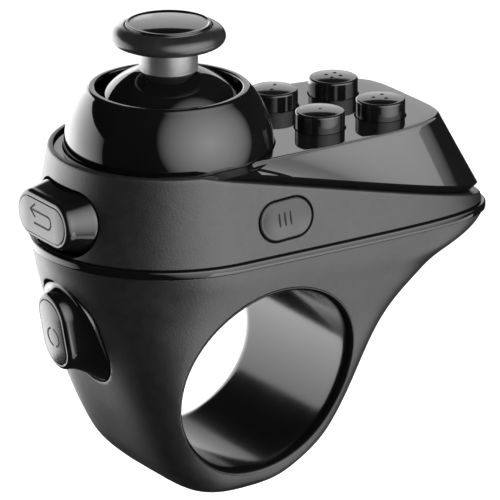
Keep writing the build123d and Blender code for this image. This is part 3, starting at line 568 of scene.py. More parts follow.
@dataclass
class LowerBody(Assembly):
    """Lower shell with its finger ring, and the gloss sleeve in the hole.

    The levels are height, front x, tail x, half width, middle x, front power, tail power and taper,
    and the sections between them follow splines through the levels.
    """

    levels: tuple[tuple[float, ...], ...] = (
        (-14.35, -3.90, 1.20, 7.90, -1.3, 4.0, 4.0, 0.004),
        (-13.80, -6.80, 4.20, 8.90, -1.0, 4.5, 4.0, 0.004),
        (-12.90, -8.75, 6.60, 9.60, -0.5, 4.5, 4.5, 0.005),
        (-11.00, -10.80, 9.70, 10.20, 0.0, 4.5, 5.0, 0.006),
        (-8.00, -12.70, 12.20, 10.90, 0.0, 4.5, 6.0, 0.007),
        (-4.00, -14.50, 14.20, 11.60, -1.0, 4.2, 7.0, 0.007),
        (0.00, -16.05, 15.60, 12.35, -2.0, 3.8, 8.0, 0.006),
        (4.00, -17.60, 17.20, 13.15, -2.8, 3.2, 9.0, 0.0045),
        (7.00, -18.85, 19.30, 13.85, -3.8, 2.7, 9.0, 0.003),
        (9.40, -19.90, 21.90, 14.40, -4.6, 2.35, 8.0, 0.0015),
        (11.30, -20.75, 24.70, 14.85, -5.2, 2.15, 7.0, 0.0005),
        (12.60, -21.25, 27.60, 15.15, -5.5, 2.05, 6.5, 0.0),
        (14.00, -21.60, 30.20, 15.40, -5.7, 2.0, 6.0, 0.0),
        (15.30, -21.90, 31.30, 15.50, -5.8, 2.0, 6.0, 0.0),
    )
    rows: int = 130
    rim_wall: float = 1.4
    recess_z: float = 13.9
    lip: float = 1.5
    lip_rise: float = 0.06

    def section(self, z: Array) -> list[Array]:
        """Front, tail, half width, middle, powers and taper at each height."""
        table = np.array(self.levels)
        return [spline_through(z, table[:, 0], table[:, k]) for k in range(1, 8)]

    def half_width(self, x: Array, z: Array) -> Array:
        """Half width of the shell at x and z: half (1 - s^p)^(1/p) (1 - taper x), s the share of reach."""
        front, tail, half, middle, front_power, tail_power, taper = self.section(z)
        share = np.where(x > middle, (x - middle) / (tail - middle), (middle - x) / (middle - front))
        power = np.where(x > middle, tail_power, front_power)
        return half * np.maximum(1 - share**power, 0) ** (1 / power) * (1 - taper * x)

    def shell(self) -> bpy.types.Object:
        """Outer wall, rim and recess as one closed surface, with the hole and trigger well cut out."""
        top, bottom = self.levels[-1][0], self.levels[0][0]
        share = np.linspace(0, 1, self.rows)
        z = bottom + (top - bottom) * (share - 0.55 * np.sin(2 * pi * share) / (2 * pi))
        front, tail, half, middle, front_power, tail_power, taper = (a[:, None] for a in self.section(z))
        turn = outline_turns()[None]
        x, y = plan(turn, front, tail, half, middle, front_power, tail_power, taper)
        wall = np.stack([x, y, z[:, None] + 0 * x], -1)
        rims = []
        for height in (top, self.recess_z):
            x, y = plan(turn, -21.9 + self.rim_wall, 31.3 - self.rim_wall, 15.5 - self.rim_wall)
            rims.append(np.stack([x, y, height + 0 * x], -1))
        shell = make_surface("lower_shell_body", np.concatenate([wall, *rims]))
        bore = lathe_along_y("bore", np.array([(0, -22), (LINER_R, -22), (LINER_R, 22), (0, 22)], float))
        well = make_surface("well", slot_rows(TRIGGER_BASE, [
            (TRIGGER_W / 2 + 0.25, TRIGGER_H / 2 + 0.25, depth, 0, 0) for depth in (-3.6, 6.0)]))
        cut(shell, [bore, well])
        soften(shell, 0.14, segments=2, angle=50.0)
        return shell

    def sleeve(self) -> bpy.types.Object:
        """Gloss sleeve whose ends flare in a round lip to the side walls.

        Round the bore axis by angle t, the section runs along radius 11.4 between the lips, each lip
        is a quarter-ellipse-like curve out to radius 12.1 at the wall, and it returns behind.
        """
        turn = np.linspace(0, 2 * pi, 300, endpoint=False)
        reach = self.half_width(LINER_R * np.cos(turn), LINER_R * np.sin(turn)) + self.lip_rise
        bow = np.linspace(0, pi / 2, 14)
        lip_in = self.lip * (1 - np.sin(bow))[:, None]
        lip_radius = FINGER_R + (LINER_R - FINGER_R - 0.06) * (1 - np.cos(bow))[:, None]
        near = np.concatenate([-(reach - lip_in), lip_radius + 0 * reach], 0).reshape(2, 14, -1)
        along = np.linspace(-1, 1, 24)[1:-1, None] * (reach - self.lip)
        straight = np.stack([along, FINGER_R + 0 * along])
        far = np.stack([-near[0], near[1]])
        inside = np.concatenate([near[:, ::-1], straight, far], 1)
        back = np.stack([np.stack([reach - 0.4, LINER_R - 0.02 + 0 * reach], 0),
                         np.stack([-(reach - 0.4), LINER_R - 0.02 + 0 * reach], 0)], 1)
        y, radius = np.concatenate([inside, back], 1)
        points = np.stack([radius * np.cos(turn), y, radius * np.sin(turn)], -1)
        return make_surface("finger_sleeve", points, closed_rows=True, sharp=40.0)

    def build(self) -> None:
        """Build and hand over the shell and its sleeve."""
        self.hand_over(self.shell(), SOFT_TOUCH, "root", "soft_touch", ("lower_shell",))
        self.hand_over(self.sleeve(), SLEEVE_GLOSS, "root", "gloss_black", ("ring_liner",))


def lathe_along_y(name: str, profile: Array, columns: int = 300) -> bpy.types.Object:
    """Turn a profile of (radius, y) points about the bore axis."""
    turn = np.linspace(0, 2 * pi, columns, endpoint=False)
    radius, y = profile[:, :1], profile[:, 1:]
    points = np.stack([radius * np.cos(turn), y + 0 * turn, radius * np.sin(turn)], -1)
    return make_surface(name, points)


@dataclass
class UpperBody(Assembly):
    """Upper shell, gloss trim strip and gloss top cover."""

    wall: float = 1.45
    edge: float = 0.3
    collar_bore: float = 13.25
    hole: float = 12.2
    band_height: float = 1.05
    plate_thickness: float = 1.1
    plate_edge: float = 0.4

    def shell(self) -> bpy.types.Object:
        """Leaning wall from the seam to the sloping cut, with a rounded top edge and its openings."""
        turn = outline_turns()
        top = cut_height(turn, COLLAR_Z)
        crown = hull_point(turn, top)
        span = np.hypot(crown[:, 0] - STICK_X, crown[:, 1])
        wall = np.clip(span - self.collar_bore, 0.6, self.wall)
        share = np.linspace(0, 1, 34)[:, None]
        low, high = SEAM_Z + 0.2, top - self.edge
        rows = [hull_point(turn, np.full_like(turn, SEAM_Z), 0.2)[None]]
        rows.append(hull_point(turn, low + (high - low) * share))
        bow = np.linspace(0, pi / 2, 6)[1:, None]
        rows.append(hull_point(turn, high + self.edge * np.sin(bow), self.edge * (1 - np.cos(bow))))
        rows.append(hull_point(turn, top, wall)[None])
        rows.append(hull_point(turn, np.full_like(turn, SEAM_Z), wall)[None])
        shell = make_surface("upper_shell_body", np.concatenate(rows), closed_rows=True)
        window = make_surface("window", slot_rows(RETURN_SEAT, [
            (RETURN_W / 2 + 0.25, RETURN_H / 2 + 0.25, depth, 0, 0) for depth in (10.0, 30.0)]))
        port = make_surface("port", slot_rows(MODE_SEAT, [
            (MODE_W / 2 + 0.16, MODE_H / 2 + 0.16, -3.0, 0, 0),
            (MODE_W / 2 + 0.16, MODE_H / 2 + 0.16, -0.22, 0, 0),
            (MODE_W / 2 + 0.24, MODE_H / 2 + 0.24, -0.08, 0, 0),
            (MODE_W / 2 + 0.48, MODE_H / 2 + 0.48, 0.06, 0, 0),
            (MODE_W / 2 + 1.2, MODE_H / 2 + 1.2, 0.3, 0, 0)]))
        cut(shell, [window, port])
        return shell

    def strip(self) -> bpy.types.Object:
        """Gloss strip between the shells: a round-edged bead carried along the seam outline."""
        bead = round_profile([(-1.6, 15.32, 0), (0, 15.32, 0.22), (0, 16.28, 0.22), (-1.6, 16.28, 0)],
                             True, 5)
        turn = outline_turns()[None]
        out, z = bead[:, :1], bead[:, 1:]
        x, y = plan(turn, -22.1 - out, 31.5 + out, 15.7 + out)
        return make_surface("seam_strip", np.stack([x, y, z + 0 * x], -1), closed_rows=True)

    def cover(self) -> bpy.types.Object:
        """Gloss cover: undercut groove, leaning skirt, rounded plate edge and plate round the dome's hole.

        Each column runs out from the groove at the cut, along a straight line from the wall to
        the plate's edge, round the edge, and level to the circle round the dome. A skirt line that
        meets the circle first stops there.
        """
        turn = outline_turns(480)
        low = cut_height(turn, 25.2)
        bottom = hull_point(turn, low + 0.02, 1.0)
        sill = hull_point(turn, low + 0.03, 1.3)
        band = hull_point(turn, low + self.band_height, 0.05)
        x, y = plan(turn, STICK_X - 11.9, 27.3, 11.35, tail_power=5.0)
        plate = np.stack([x, y, np.full_like(x, PLATE_Z)], -1)
        axis = np.array([STICK_X, 0.0])
        start, run = band[:, :2] - axis, plate[:, :2] - band[:, :2]
        a, b = (run**2).sum(1), (start * run).sum(1)
        c = (start**2).sum(1) - self.hole**2
        stop = np.where(b * b > a * c, (-b - np.sqrt(np.maximum(b * b - a * c, 0))) / a, 1.0)
        stop = np.where((stop > 0) & (stop < 1), stop, 1.0)[:, None]
        edge = band + (plate - band) * stop
        ray = edge[:, :2] - axis
        reach = np.linalg.norm(ray, axis=1, keepdims=True)
        rim = np.concatenate([axis + ray / reach * self.hole, edge[:, 2:]], 1)
        room = np.minimum(self.plate_edge, 0.45 * np.maximum(reach - self.hole, 0))
        down = (band - edge) / np.linalg.norm(band - edge, axis=1, keepdims=True)
        inward = (rim - edge) / np.maximum(np.linalg.norm(rim - edge, axis=1, keepdims=True), 1e-6)
        first, last = edge + down * room, edge + inward * room
        t = np.linspace(0, 1, 7)[:, None, None]
        fillet = (1 - t) ** 2 * first + 2 * t * (1 - t) * edge + t**2 * last
        rise = np.linspace(0, 1, 16)[1:-1, None, None]
        skirt = band + (first - band) * rise
        level = last + (rim - last) * np.linspace(0, 1, 12)[1:, None, None]
        hole_foot = rim - np.array([0, 0, self.plate_thickness])
        under = plan(turn, STICK_X - 11.0, 26.0, 10.3, tail_power=5.0)
        under = np.stack([*under, np.full_like(x, PLATE_Z - 1.3)], -1)
        inside = np.hypot(under[:, 0] - STICK_X, under[:, 1]) < self.hole + 0.2
        under[inside] = hole_foot[inside]
        grid = np.concatenate([sill[None], bottom[None], band[None], skirt, fillet,
                               level, hole_foot[None], under[None]])
        sink = 0.55 * smooth_step(-6.4, -9.5, grid[..., 0])
        grid[..., 2] -= np.where(grid[..., 2] > 25.3, sink, 0)
        cover = make_surface("gloss_cover", grid, closed_rows=True, sharp=24.0)
        cutters = [lathe(f"key_hole_{n}", np.array([(0, 22.0), (KEY_R + 0.15, 22.0), (KEY_R + 0.15,
                                                                                      30.0), (0, 30.0)]),
                         (x, y), 96, closed=False) for n, (x, y) in enumerate(KEY_SPOTS.values())]
        port = Panel((24.0, 0.0, 19.8), (0, 1, 0), (1, 0, 0))
        cutters.append(make_surface("port_hole",
                                    slot_rows(port, [(4.0, 1.5, 0, 0, 0), (4.0, 1.5, 9, 0, 0)])))
        lamp = Panel((24.0, 7.2, 19.8), (0, 1, 0), (1, 0, 0))
        cutters.append(make_surface("lamp_hole",
                                    slot_rows(lamp, [(0.72, 0.72, 0, 0, 0), (0.72, 0.72, 9, 0, 0)])))
        cut(cover, cutters, sharp=24.0)
        return cover

    def collar(self) -> bpy.types.Object:
        """Low gloss ring between the matte collar and the dome."""
        profile = round_profile([(12.15, 25.3, 0), (12.15, 26.2, 0.12), (13.2, 26.2, 0.12),
                                 (13.2, 25.3, 0)], True, 4)
        return lathe("gloss_collar", profile, (STICK_X, 0.0), 240)

    def build(self) -> None:
        """Build and hand over the upper body's pieces."""
        self.hand_over(self.shell(), SOFT_TOUCH, "root", "soft_touch", ("upper_shell",))
        self.hand_over(self.strip(), PIANO, "root", "gloss_black", ("trim_strip",))
        self.hand_over(self.cover(), PIANO, "root", "gloss_black", ("top_cover",))
        self.hand_over(self.collar(), PIANO, "root", "gloss_black")


# ---------------------------------------------------------------------------------- thumbstick
@dataclass
class Thumbstick(Assembly):
    """Fixed dome, and the tilting skirt, sleeve and thumb cap."""

    axis: tuple[float, float] = (STICK_X, 0.0)
    pivot_z: float = 25.5
    dome_r: float = 12.05
    dome_rise: float = 10.76
    dome_base: float = 26.3
    dome_top: float = 33.3
    mouth_r: float = 8.4
    skirt_r: float = 10.4
    stem_r: float = 3.36
    cap_z: float = 38.3
    cap_r: float = 6.55

    def dome(self) -> bpy.types.Object:
        """Dome: radius R sqrt(1 - h^2 / rise^2) at height h over its base, a rolled lip and an inner wall."""
        h = np.linspace(0, self.dome_top - 0.35 - self.dome_base, 44)
        wall = np.stack([self.dome_r * np.sqrt(1 - (h / self.dome_rise) ** 2), self.dome_base + h], -1)
        lip = round_profile([tuple(wall[-1]) + (0,), (9.2, self.dome_top, 0.28),
                             (self.mouth_r, self.dome_top, 0.3),
                             (self.mouth_r, self.dome_top - 0.9, 0)], False, 6)
        down = np.linspace(self.dome_top - 1.4, self.dome_base, 24)
        inner = np.sqrt(1 - ((down - self.dome_base) / self.dome_rise) ** 2) * (self.dome_r - 0.2) - 1.0
        foot = np.array([(10.95, 24.2), (13.1, 24.2), (13.1, 25.2), (self.dome_r, 25.2)])
        profile = np.concatenate([wall, lip[1:], np.stack([inner, down], -1), foot])
        return lathe("dome_shell", profile, self.axis, 256)

    def skirt(self) -> bpy.types.Object:
        """Ball-shaped skirt: a sphere's zone about the pivot, 0.9 mm thick."""
        low = np.arcsin((30.4 - self.pivot_z) / self.skirt_r)
        high = np.arccos(self.stem_r / self.skirt_r)
        angle = np.linspace(low, high, 48)
        outer = np.stack([self.skirt_r * np.cos(angle), self.pivot_z + self.skirt_r * np.sin(angle)], -1)
        inner_r = self.skirt_r - 0.9
        back = np.linspace(np.arccos(self.stem_r / inner_r), np.arcsin((30.4 - self.pivot_z) / inner_r), 30)
        inner = np.stack([inner_r * np.cos(back), self.pivot_z + inner_r * np.sin(back)], -1)
        return lathe("ball_skirt", np.concatenate([outer, inner]), self.axis, 224)

    def sleeve(self) -> bpy.types.Object:
        """Turned metal sleeve with eased ends and a fine groove under the cap."""
        top, low = self.cap_z, 34.45
        profile = round_profile([(1.5, low, 0), (self.stem_r, low, 0.1), (self.stem_r, top - 0.55, 0.05),
                                 (self.stem_r - 0.12, top - 0.5, 0.04),
                                 (self.stem_r - 0.12, top - 0.32, 0.04),
                                 (self.stem_r, top - 0.27, 0.05), (self.stem_r, top, 0), (1.5, top, 0)],
                                 True, 4)
        return lathe("turned_sleeve", profile, self.axis, 192)

    def cap(self) -> bpy.types.Object:
        """Thumb cap: rolled rim, shoulder, groove and the seat of the disc."""
        z = self.cap_z
        profile = round_profile([(0, z, 0), (self.cap_r - 0.65, z, 0.5), (self.cap_r + 0.02, z + 0.55, 0.45),
                                 (self.cap_r - 0.02, z + 1.5, 0.6), (self.cap_r - 0.95, z + 2.12, 0.5),
                                 (5.22, z + 2.22, 0.08), (5.18, z + 2.05, 0.05), (4.98, z + 2.05, 0.05),
                                 (4.9, z + 2.3, 0.05), (0, z + 2.3, 0)], False, 8)
        return lathe("thumb_rim", profile, self.axis, 224, closed=False)

    def disc(self) -> bpy.types.Object:
        """Thumb disc: an eased raised edge round a slightly domed face."""
        z = self.cap_z + 2.2
        edge = round_profile([(0, z, 0), (4.86, z, 0), (4.86, z + 0.34, 0.12), (4.62, z + 0.34, 0.1),
                              (4.5, z + 0.22, 0.08), (4.3, z + 0.235, 0.05)], False, 5)
        radius = np.linspace(4.2, 0, 24)
        face = np.stack([radius, z + 0.24 + 0.26 * (1 - (radius / 4.2) ** 2)], -1)
        return lathe("thumb_disc", np.concatenate([edge, face]), self.axis, 224, closed=False)

    def build(self) -> None:
        """Build and hand over the dome and the parts that tilt."""
        self.hand_over(self.dome(), PIANO, "root", "gloss_black", ("stick_dome",))
        self.hand_over(self.skirt(), PIANO, "stick", "gloss_black", ("stick_skirt",))
        self.hand_over(self.sleeve(), STEM_GREY, "stick", "satin_metal", ("stem_sleeve",))
        self.hand_over(self.cap(), CAP_BLACK, "stick", "rubber_black", ("thumb_cap",))
        self.hand_over(self.disc(), PIANO, "stick", "gloss_black")


# ---------------------------------------------------------------------------------- buttons
def arc_path(centre: tuple[float, float], radius: float, start: float, stop: float,
             steps: int = 24) -> Array:
    """Points (u, v) on an arc between two angles in degrees."""
    turn = np.radians(np.linspace(start, stop, steps))
    return np.stack([centre[0] + radius * np.cos(turn), centre[1] + radius * np.sin(turn)], -1)


def line_path(points: list[tuple[float, float]], steps: int = 6) -> Array:
    """Points (u, v) evenly along straight stretches between corners."""
    corners = np.array(points, float)
    t = np.linspace(0, len(corners) - 1, steps * (len(corners) - 1) + 1)
    return np.stack([np.interp(t, np.arange(len(corners)), corners[:, k]) for k in (0, 1)], -1)


def join(name: str, pieces: list[bpy.types.Object]) -> bpy.types.Object:
    """Make one mesh of several pieces that share a finish."""
    work = bmesh.new()
    for piece in pieces:
        work.from_mesh(piece.data)
    mesh = bpy.data.meshes.new(name)
    work.to_mesh(mesh)
    work.free()
    for piece in pieces:
        bpy.data.objects.remove(piece)
    shade(mesh, 50.0)
    joined = bpy.data.objects.new(name, mesh)
    bpy.context.scene.collection.objects.link(joined)
    return joined


@dataclass
class TopKeys(Assembly):
    """Four round keys with small marks of one to four pips."""

    foot_z: float = 24.75
    pip_r: float = 0.3
    pip_ring: float = 0.85

    def key(self, name: str, spot: tuple[float, float]) -> bpy.types.Object:
        """Turned key: flange, barrel, eased edge and a gently domed top."""
        z = KEY_TOP_Z
        profile = round_profile([(0, self.foot_z, 0), (KEY_R + 0.7, self.foot_z, 0.1),
                                 (KEY_R + 0.7, self.foot_z + 0.6, 0.1), (KEY_R, self.foot_z + 0.6, 0.05),
                                 (KEY_R, z + 0.28, 0.24), (KEY_R - 0.3, z + 0.31, 0)], False, 6)
        radius = np.linspace(KEY_R - 0.34, 0, 16)
        top = np.stack([radius, z + 0.31 + 0.22 * (1 - (radius / (KEY_R - 0.34)) ** 2)], -1)
        return lathe(f"top_key_{name}", np.concatenate([profile, top]), spot, 128, closed=False)

    def pips(self, name: str, spot: tuple[float, float], count: int) -> bpy.types.Object:
        """Low round studs: one at the centre, or several evenly round it."""
        ring = 0.0 if count == 1 else self.pip_ring
        turn = 2 * pi * np.arange(count) / count + pi / 4
        low, rise = KEY_TOP_Z + 0.38, 0.12
        fall = np.linspace(self.pip_r, 0, 6)
        profile = np.stack([fall, low + 0.1 + rise * (1 - (fall / self.pip_r) ** 2)], -1)
        profile = np.concatenate([[(0, low - 0.2), (self.pip_r, low - 0.2)], profile])
        studs = [lathe("stud", profile, (spot[0] + ring * cos(t), spot[1] + ring * sin(t)), 24, closed=False)
                 for t in turn]
        return join(f"key_pips_{name}", studs)

    def build(self) -> None:
        """Build and hand over the keys and their marks."""
        for count, (name, spot) in enumerate(KEY_SPOTS.items(), start=1):
            body = f"key_{name}"
            self.hand_over(self.key(name, spot), KEY_BLACK, body, "gloss_black", (f"action_button_{name}",))
            self.hand_over(self.pips(name, spot, count), FACE_SATIN_PAINTED_REFLECTION, body, "rubber_black")


@dataclass
class SideKey(Assembly):
    """Dished soft key in the side wall with a mark of three short bars."""

    dish: float = 0.28

    def key(self) -> bpy.types.Object:
        """Slot-shaped key: flange, side, eased rim, and a face that sinks as 1 - (1 - t)^2 inwards."""
        a, b = MODE_W / 2, MODE_H / 2
        t = np.linspace(0, 1, 14)
        inner = [(a - 0.3 - (b - 0.3) * k, max((b - 0.3) * (1 - k), 1e-4),
                  0.02 - self.dish * (1 - (1 - k) ** 2), 0, 0)
                 for k in t]
        rows = [(a + 0.7, b + 0.7, -2.3, 0, 0), (a + 0.7, b + 0.7, -1.75, 0, 0), (a, b, -1.75, 0, 0),
                (a, b, -0.2, 0, 0), (a - 0.05, b - 0.05, -0.06, 0, 0), (a - 0.16, b - 0.16, 0.02, 0, 0)]
        return make_surface("side_key", slot_rows(MODE_SEAT, rows + inner), sharp=32.0)

    def mark(self) -> bpy.types.Object:
        """Three short upright bars."""
        seat = Panel(tuple(np.array(MODE_SEAT.origin) + np.array(MODE_SEAT.w) * -0.24), MODE_SEAT.u,
                     MODE_SEAT.w)
        bars = [ribbon("bar", seat, line_path([(u, -0.8), (u, 0.8)]), 0.22, 0.03) for u in (-0.75, 0.0,
                                                                                            0.75)]
        return join("side_key_mark", bars)

    def build(self) -> None:
        """Build and hand over the key and its mark."""
        self.hand_over(self.key(), SOFT_TOUCH, "mode_key", "soft_touch", ("mode_button",))
        self.hand_over(self.mark(), INLAY, "mode_key", "gloss_black")


@dataclass
class FrontKey(Assembly):
    """Gloss slot-shaped front key with a satin face plate, its lighter colour a painted reflection, and a
    hooked-arrow mark.
    """

    face_w: float = 10.8
    face_h: float = 5.2
    face_x: float = 22.9
    base_x: float = 19.4
    back_x: float = 16.5

    def body(self) -> bpy.types.Object:
        """Slot outlines from the base to the face, each side narrowing evenly, with a rounded face edge."""
        a, b = RETURN_W / 2, RETURN_H / 2
        fa, fb = self.face_w / 2, self.face_h / 2
        grow = np.linspace(0, 1, 10)
        rows = [(a, b, self.back_x, 0, 0), (a, b, self.base_x - 0.2, 0, 0)]
        rows += [(a + (fa + 0.25 - a) * k, b + (fb + 0.25 - b) * k,
                  self.base_x + (self.face_x - 0.9 - self.base_x) * k,
                  0.1 * k, 0) for k in grow]
        bow = np.linspace(0, pi / 2, 7)[1:]
        rows += [(fa + 0.25 - 0.5 * (1 - cos(k)), fb + 0.25 - 0.5 * (1 - cos(k)),
                  self.face_x - 0.9 + 0.8 * sin(k), 0.1, 0) for k in bow]
        rows += [(fa - 0.42, fb - 0.42, self.face_x - 0.1, 0.1, 0),
                 (fa - 0.45, fb - 0.45, self.face_x - 0.3, 0.1, 0)]
        return make_surface("front_key_body", slot_rows(RETURN_SEAT, rows), sharp=32.0)

    def face(self) -> bpy.types.Object:
        """Face plate set in the body with an eased edge."""
        fa, fb = self.face_w / 2 - 0.5, self.face_h / 2 - 0.5
        rows = [(fa, fb, self.face_x - 0.6, 0.1, 0), (fa, fb, self.face_x - 0.1, 0.1, 0),
                (fa - 0.04, fb - 0.04, self.face_x - 0.03, 0.1, 0),
                (fa - 0.14, fb - 0.14, self.face_x, 0.1, 0),
                (fa - fb + 0.01, 0.01, self.face_x, 0.1, 0)]
        return make_surface("front_key_face", slot_rows(RETURN_SEAT, rows), sharp=32.0)

    def mark(self) -> bpy.types.Object:
        """Hooked arrow: a line that runs to the right, turns down a round end and comes back."""
        seat = Panel((-self.face_x, 0.0, RETURN_SEAT.origin[2] + 0.1), (0, -1, 0), (-1, 0, 0))
        hook = np.concatenate([line_path([(-2.3, 0.75), (1.3, 0.75)], 12),
                               arc_path((1.3, 0.0), 0.75, 80, -80, 16),
                               line_path([(1.2, -0.75), (-1.6, -0.75)], 10)])
        barbs = [line_path([(-1.35, 1.55), (-2.4, 0.75), (-1.35, -0.0)], 8)]
        lines = [ribbon("line", seat, path, 0.24, 0.03) for path in (hook, *barbs)]
        return join("front_key_mark", lines)

    def build(self) -> None:
        """Build and hand over the key, its face and its mark."""
        self.hand_over(self.body(), KEY_BLACK, "return_key", "gloss_black", ("return_button",))
        self.hand_over(self.face(), FACE_SATIN_PAINTED_REFLECTION, "return_key", "rubber_black")
        self.hand_over(self.mark(), INLAY, "return_key", "gloss_black")


@dataclass
class Trigger(Assembly):
    """Gloss trigger whose sides rise from the wall to a leaning satin face, its lighter colour a painted
    reflection, with an open-ring mark.
    """

    face_w: float = 5.4
    face_h: float = 9.0
    edge: float = 0.5

    def body(self) -> bpy.types.Object:
        """Slot outlines on the base and face planes joined by flared sides, with a rounded face edge.

        A side point at share k is the quadratic curve (1 - k)^2 base + 2 k (1 - k) bend + k^2 shoulder,
        and the edge rows follow a quarter turn from the sides to the face.
        """
        a, b = TRIGGER_W / 2, TRIGGER_H / 2
        fa, fb = self.face_w / 2, self.face_h / 2
        base = slot_rows(TRIGGER_BASE, [(a, b, -1.4, 0, 0), (a, b, 0.0, 0, 0)])
        shoulder = slot_rows(TRIGGER_FACE, [(fa + 0.28, fb + 0.28, -self.edge - 0.15, 0, 0)])
        bend = slot_rows(TRIGGER_FACE, [(fa + 0.62, fb + 0.55, -2.1, 0, 0)])
        k = np.linspace(0, 1, 14)[1:, None, None]
        sides = (1 - k) ** 2 * base[1] + 2 * k * (1 - k) * bend[0] + k**2 * shoulder[0]
        bow = np.linspace(0, pi / 2, 7)[1:]
        rows = [(fa + 0.28 - self.edge * (1 - cos(k)), fb + 0.28 - self.edge * (1 - cos(k)),
                 -self.edge - 0.15 + (self.edge + 0.05) * sin(k), 0, 0) for k in bow]
        rows += [(fa - 0.36, fb - 0.36, -0.1, 0, 0), (fa - 0.4, fb - 0.4, -0.3, 0, 0)]
        return make_surface("trigger_body", np.concatenate([base, sides, slot_rows(TRIGGER_FACE, rows)]),
                            sharp=32.0)

    def face(self) -> bpy.types.Object:
        """Face plate set in the trigger with an eased edge."""
        fa, fb = self.face_w / 2 - 0.46, self.face_h / 2 - 0.46
        rows = [(fa, fb, -0.6, 0, 0), (fa, fb, -0.12, 0, 0), (fa - 0.04, fb - 0.04, -0.04, 0, 0),
                (fa - 0.14, fb - 0.14, 0.0, 0, 0), (0.01, fb - fa + 0.01, 0.0, 0, 0)]
        return make_surface("trigger_face", slot_rows(TRIGGER_FACE, rows), sharp=32.0)

    def mark(self) -> bpy.types.Object:
        """Open ring of two arcs."""
        arcs = [ribbon("arc", TRIGGER_FACE, arc_path((0, -0.6), 1.15, start, start + 150), 0.24, 0.03)
                for start in (105, 285)]
        return join("trigger_mark", arcs)

    def lug(self) -> bpy.types.Object:
        """Hinge lug behind the face, round the pin."""
        profile = np.array([(0.56, -2.5), (1.0, -2.5), (1.0, 2.5), (0.56, 2.5)])
        lug = lathe_along_y("trigger_lug", profile, 48)
        pin = Vector((sum(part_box("trigger_pin"), Vector()) / 2))
        lug.data.transform(Matrix.Translation(pin))
        return lug

    def build(self) -> None:
        """Build and hand over the trigger's pieces."""
        self.hand_over(self.body(), KEY_BLACK, "trigger_lever", "gloss_black", ("trigger",))
        self.hand_over(self.face(), FACE_SATIN_PAINTED_REFLECTION, "trigger_lever", "rubber_black")
        self.hand_over(self.mark(), INLAY, "trigger_lever", "gloss_black")
        self.hand_over(self.lug(), MOULDED, "trigger_lever", "gloss_black")


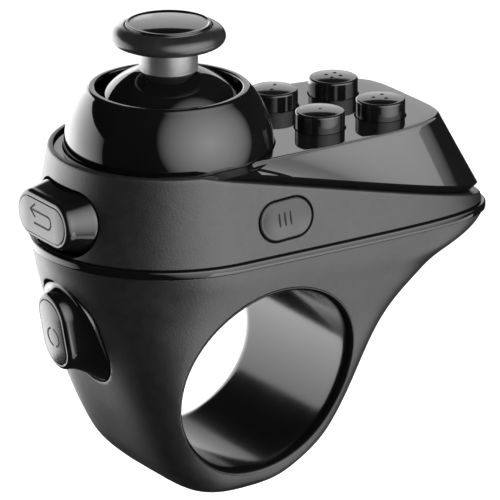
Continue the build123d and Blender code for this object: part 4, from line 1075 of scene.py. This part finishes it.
# ---------------------------------------------------------------------------------- studio
@dataclass
class Studio:
    """Camera, floor, dim surroundings and soft panels of light."""

    aim: tuple[float, float, float] = (8.0, 0.0, 18.0)
    azimuth: float = -33.08
    elevation: float = 19.39
    distance: float = 670.0
    slide: tuple[float, float] = (-2.303, -6.801)
    lens: float = 416.3
    floor_drop: float = 290.0
    floor_size: float = 9000.0

    def directions(self) -> tuple[Vector, Vector, Vector]:
        """Right, up and back directions of the camera."""
        a, e = radians(self.azimuth), radians(self.elevation)
        back = Vector((sin(a) * cos(e), -cos(a) * cos(e), sin(e)))
        right = Vector((cos(a), sin(a), 0.0))
        return right, back.cross(right), back

    def build_camera(self) -> None:
        """Put the camera at the view's angle and distance."""
        right, up, back = self.directions()
        where = Vector(self.aim) + back * self.distance + right * self.slide[0] + up * self.slide[1]
        data = bpy.data.cameras.new("camera")
        data.lens = self.lens
        data.sensor_width = 36.0
        data.clip_start = 0.01
        data.clip_end = 50.0
        camera = bpy.data.objects.new("camera", data)
        bpy.context.scene.collection.objects.link(camera)
        turn = Matrix((right, up, back)).transposed().to_4x4()
        camera.matrix_world = Matrix.Translation(where * MM) @ turn
        bpy.context.scene.camera = camera

    def build_floor(self) -> None:
        """Lay a large pale floor well under the held object."""
        half, z = self.floor_size / 2, -self.floor_drop
        corners = np.array([(-half, -half, z), (half, -half, z), (half, half, z), (-half, half, z)]) * MM
        mesh = bpy.data.meshes.new("floor")
        mesh.from_pydata(corners.tolist(), [], [[0, 1, 2, 3]])
        floor = bpy.data.objects.new("floor", mesh)
        bpy.context.scene.collection.objects.link(floor)
        pale = Finish("floor_pale", (0.80, 0.80, 0.80), (0.82, 0.82, 0.82), (0.8, 0.9), specular=0.1)
        floor.data.materials.append(pale.build())
        floor.visible_glossy = False
        floor.visible_diffuse = False
        floor.visible_shadow = False

    def light_one(self, lamp: str, piece: str) -> None:
        """Let a light reach one piece and nothing else."""
        only = bpy.data.collections.new(f"{lamp}_only")
        only.objects.link(bpy.data.objects[piece])
        bpy.data.objects[lamp].light_linking.receiver_collection = only

    def panel(self, name: str, azimuth: float, elevation: float, size: tuple[float, float],
              radiance: float, distance: float, spread: float) -> None:
        """Hang one soft panel of light that faces the object.

        Args:
            name: the light's name.
            azimuth: degrees round the object, 0 at -Y and 90 at +X.
            elevation: degrees above level.
            size: width and height in millimetres.
            radiance: brightness of the panel's face.
            distance: millimetres from the object.
            spread: full angle of the light's cone in degrees, past which the panel looks dark.
        """
        a, e = radians(azimuth), radians(elevation)
        out = Vector((sin(a) * cos(e), -cos(a) * cos(e), sin(e)))
        data = bpy.data.lights.new(name, "AREA")
        data.shape = "RECTANGLE"
        data.size, data.size_y = size[0] * MM, size[1] * MM
        data.spread = radians(spread)
        half = radians(min(spread, 179.0)) / 2
        data.energy = radiance * pi * data.size * data.size_y * (tan(half) - half) / tan(half)
        lamp = bpy.data.objects.new(name, data)
        bpy.context.scene.collection.objects.link(lamp)
        right = Vector((cos(a), sin(a), 0.0))
        turn = Matrix((right, out.cross(right), out)).transposed().to_4x4()
        lamp.matrix_world = Matrix.Translation(out * distance * MM + Vector((0, 0, 18 * MM))) @ turn

    def build_light(self) -> None:
        """Hang the panels and set the dim surroundings."""
        self.panel("key", 16.0, 20.0, (2200.0, 2200.0), 6.0, 620.0, 116.0)
        self.panel("rear_left", -160.0, -6.0, (2000.0, 840.0), 6.0, 800.0, 108.0)
        self.panel("low_right", 40.0, -38.0, (900.0, 420.0), 2.6, 700.0, 180.0)
        self.panel("rear_right", 147.0, 14.0, (520.0, 420.0), 1.4, 900.0, 180.0)
        world = bpy.context.scene.world or bpy.data.worlds.new("surroundings")
        bpy.context.scene.world = world
        world.use_nodes = True
        ground = world.node_tree.nodes["Background"]
        ground.inputs["Color"].default_value = (0.02, 0.02, 0.02, 1)
        ground.inputs["Strength"].default_value = 1.0

    def build(self) -> None:
        """Build the whole studio."""
        self.build_camera()
        self.build_floor()
        self.build_light()
        self.panel("floor_wash", 0.0, 90.0, (6000.0, 6000.0), 1.6, 3000.0, 180.0)
        self.light_one("floor_wash", "floor")
        self.panel("cover_glow", 62.0, 62.0, (1300.0, 1000.0), 2.2, 640.0, 180.0)
        self.light_one("cover_glow", "gloss_cover")
        bpy.context.scene.view_settings.view_transform = "Standard"


NODE_FINISHES: dict[Finish, tuple[str, ...]] = {
    SOFT_TOUCH: ("lower_shell", "upper_shell", "mode_button"),
    PIANO: ("top_cover", "stick_dome", "trim_strip", "ring_liner", "stick_skirt"),
    KEY_BLACK: ("action_button_front_near", "action_button_front_far", "action_button_rear_near",
                "action_button_rear_far", "return_button", "trigger"),
    CAP_BLACK: ("thumb_cap",),
    STEM_GREY: ("stem_sleeve",),
    STEEL: ("board_screws", "usb_socket", "trigger_pin", "centering_spring", "yoke_pin", "stick_shaft"),
    BOARD_GREEN: ("main_board", "button_board", "trigger_board"),
    POUCH: ("battery",),
    FOAM: ("battery_pad",),
    SILICONE: ("button_membrane",),
    FLEX: ("trigger_flex",),
    CHIP: ("controller_chip", "radio_module", "mode_switch", "return_switch", "trigger_switch",
           "sensor_x", "sensor_y", "board_header", "charge_light"),
    LENS: ("light_pipe",),
    MOULDED: ("stick_housing", "centering_disc", "stick_yoke", "stick_arch"),
}


def dress_nodes(wardrobe: Wardrobe) -> None:
    """Put a finish on every CAD node."""
    for finish, names in NODE_FINISHES.items():
        for name in names:
            wardrobe.put_on(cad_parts[name], finish)
    bare = set(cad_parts) - {name for names in NODE_FINISHES.values() for name in names}
    if bare:
        LOG.warning("nodes with no finish: %s", sorted(bare))


def main() -> None:
    """Build every piece, then build the studio round them."""
    logging.basicConfig(level=logging.INFO, format="%(name)s: %(message)s")
    wardrobe = Wardrobe()
    dress_nodes(wardrobe)
    for assembly in (LowerBody, UpperBody, Thumbstick, TopKeys, SideKey, FrontKey, Trigger):
        assembly(wardrobe).build()
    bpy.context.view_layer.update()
    Studio().build()


if __name__ == "__main__":
    main()
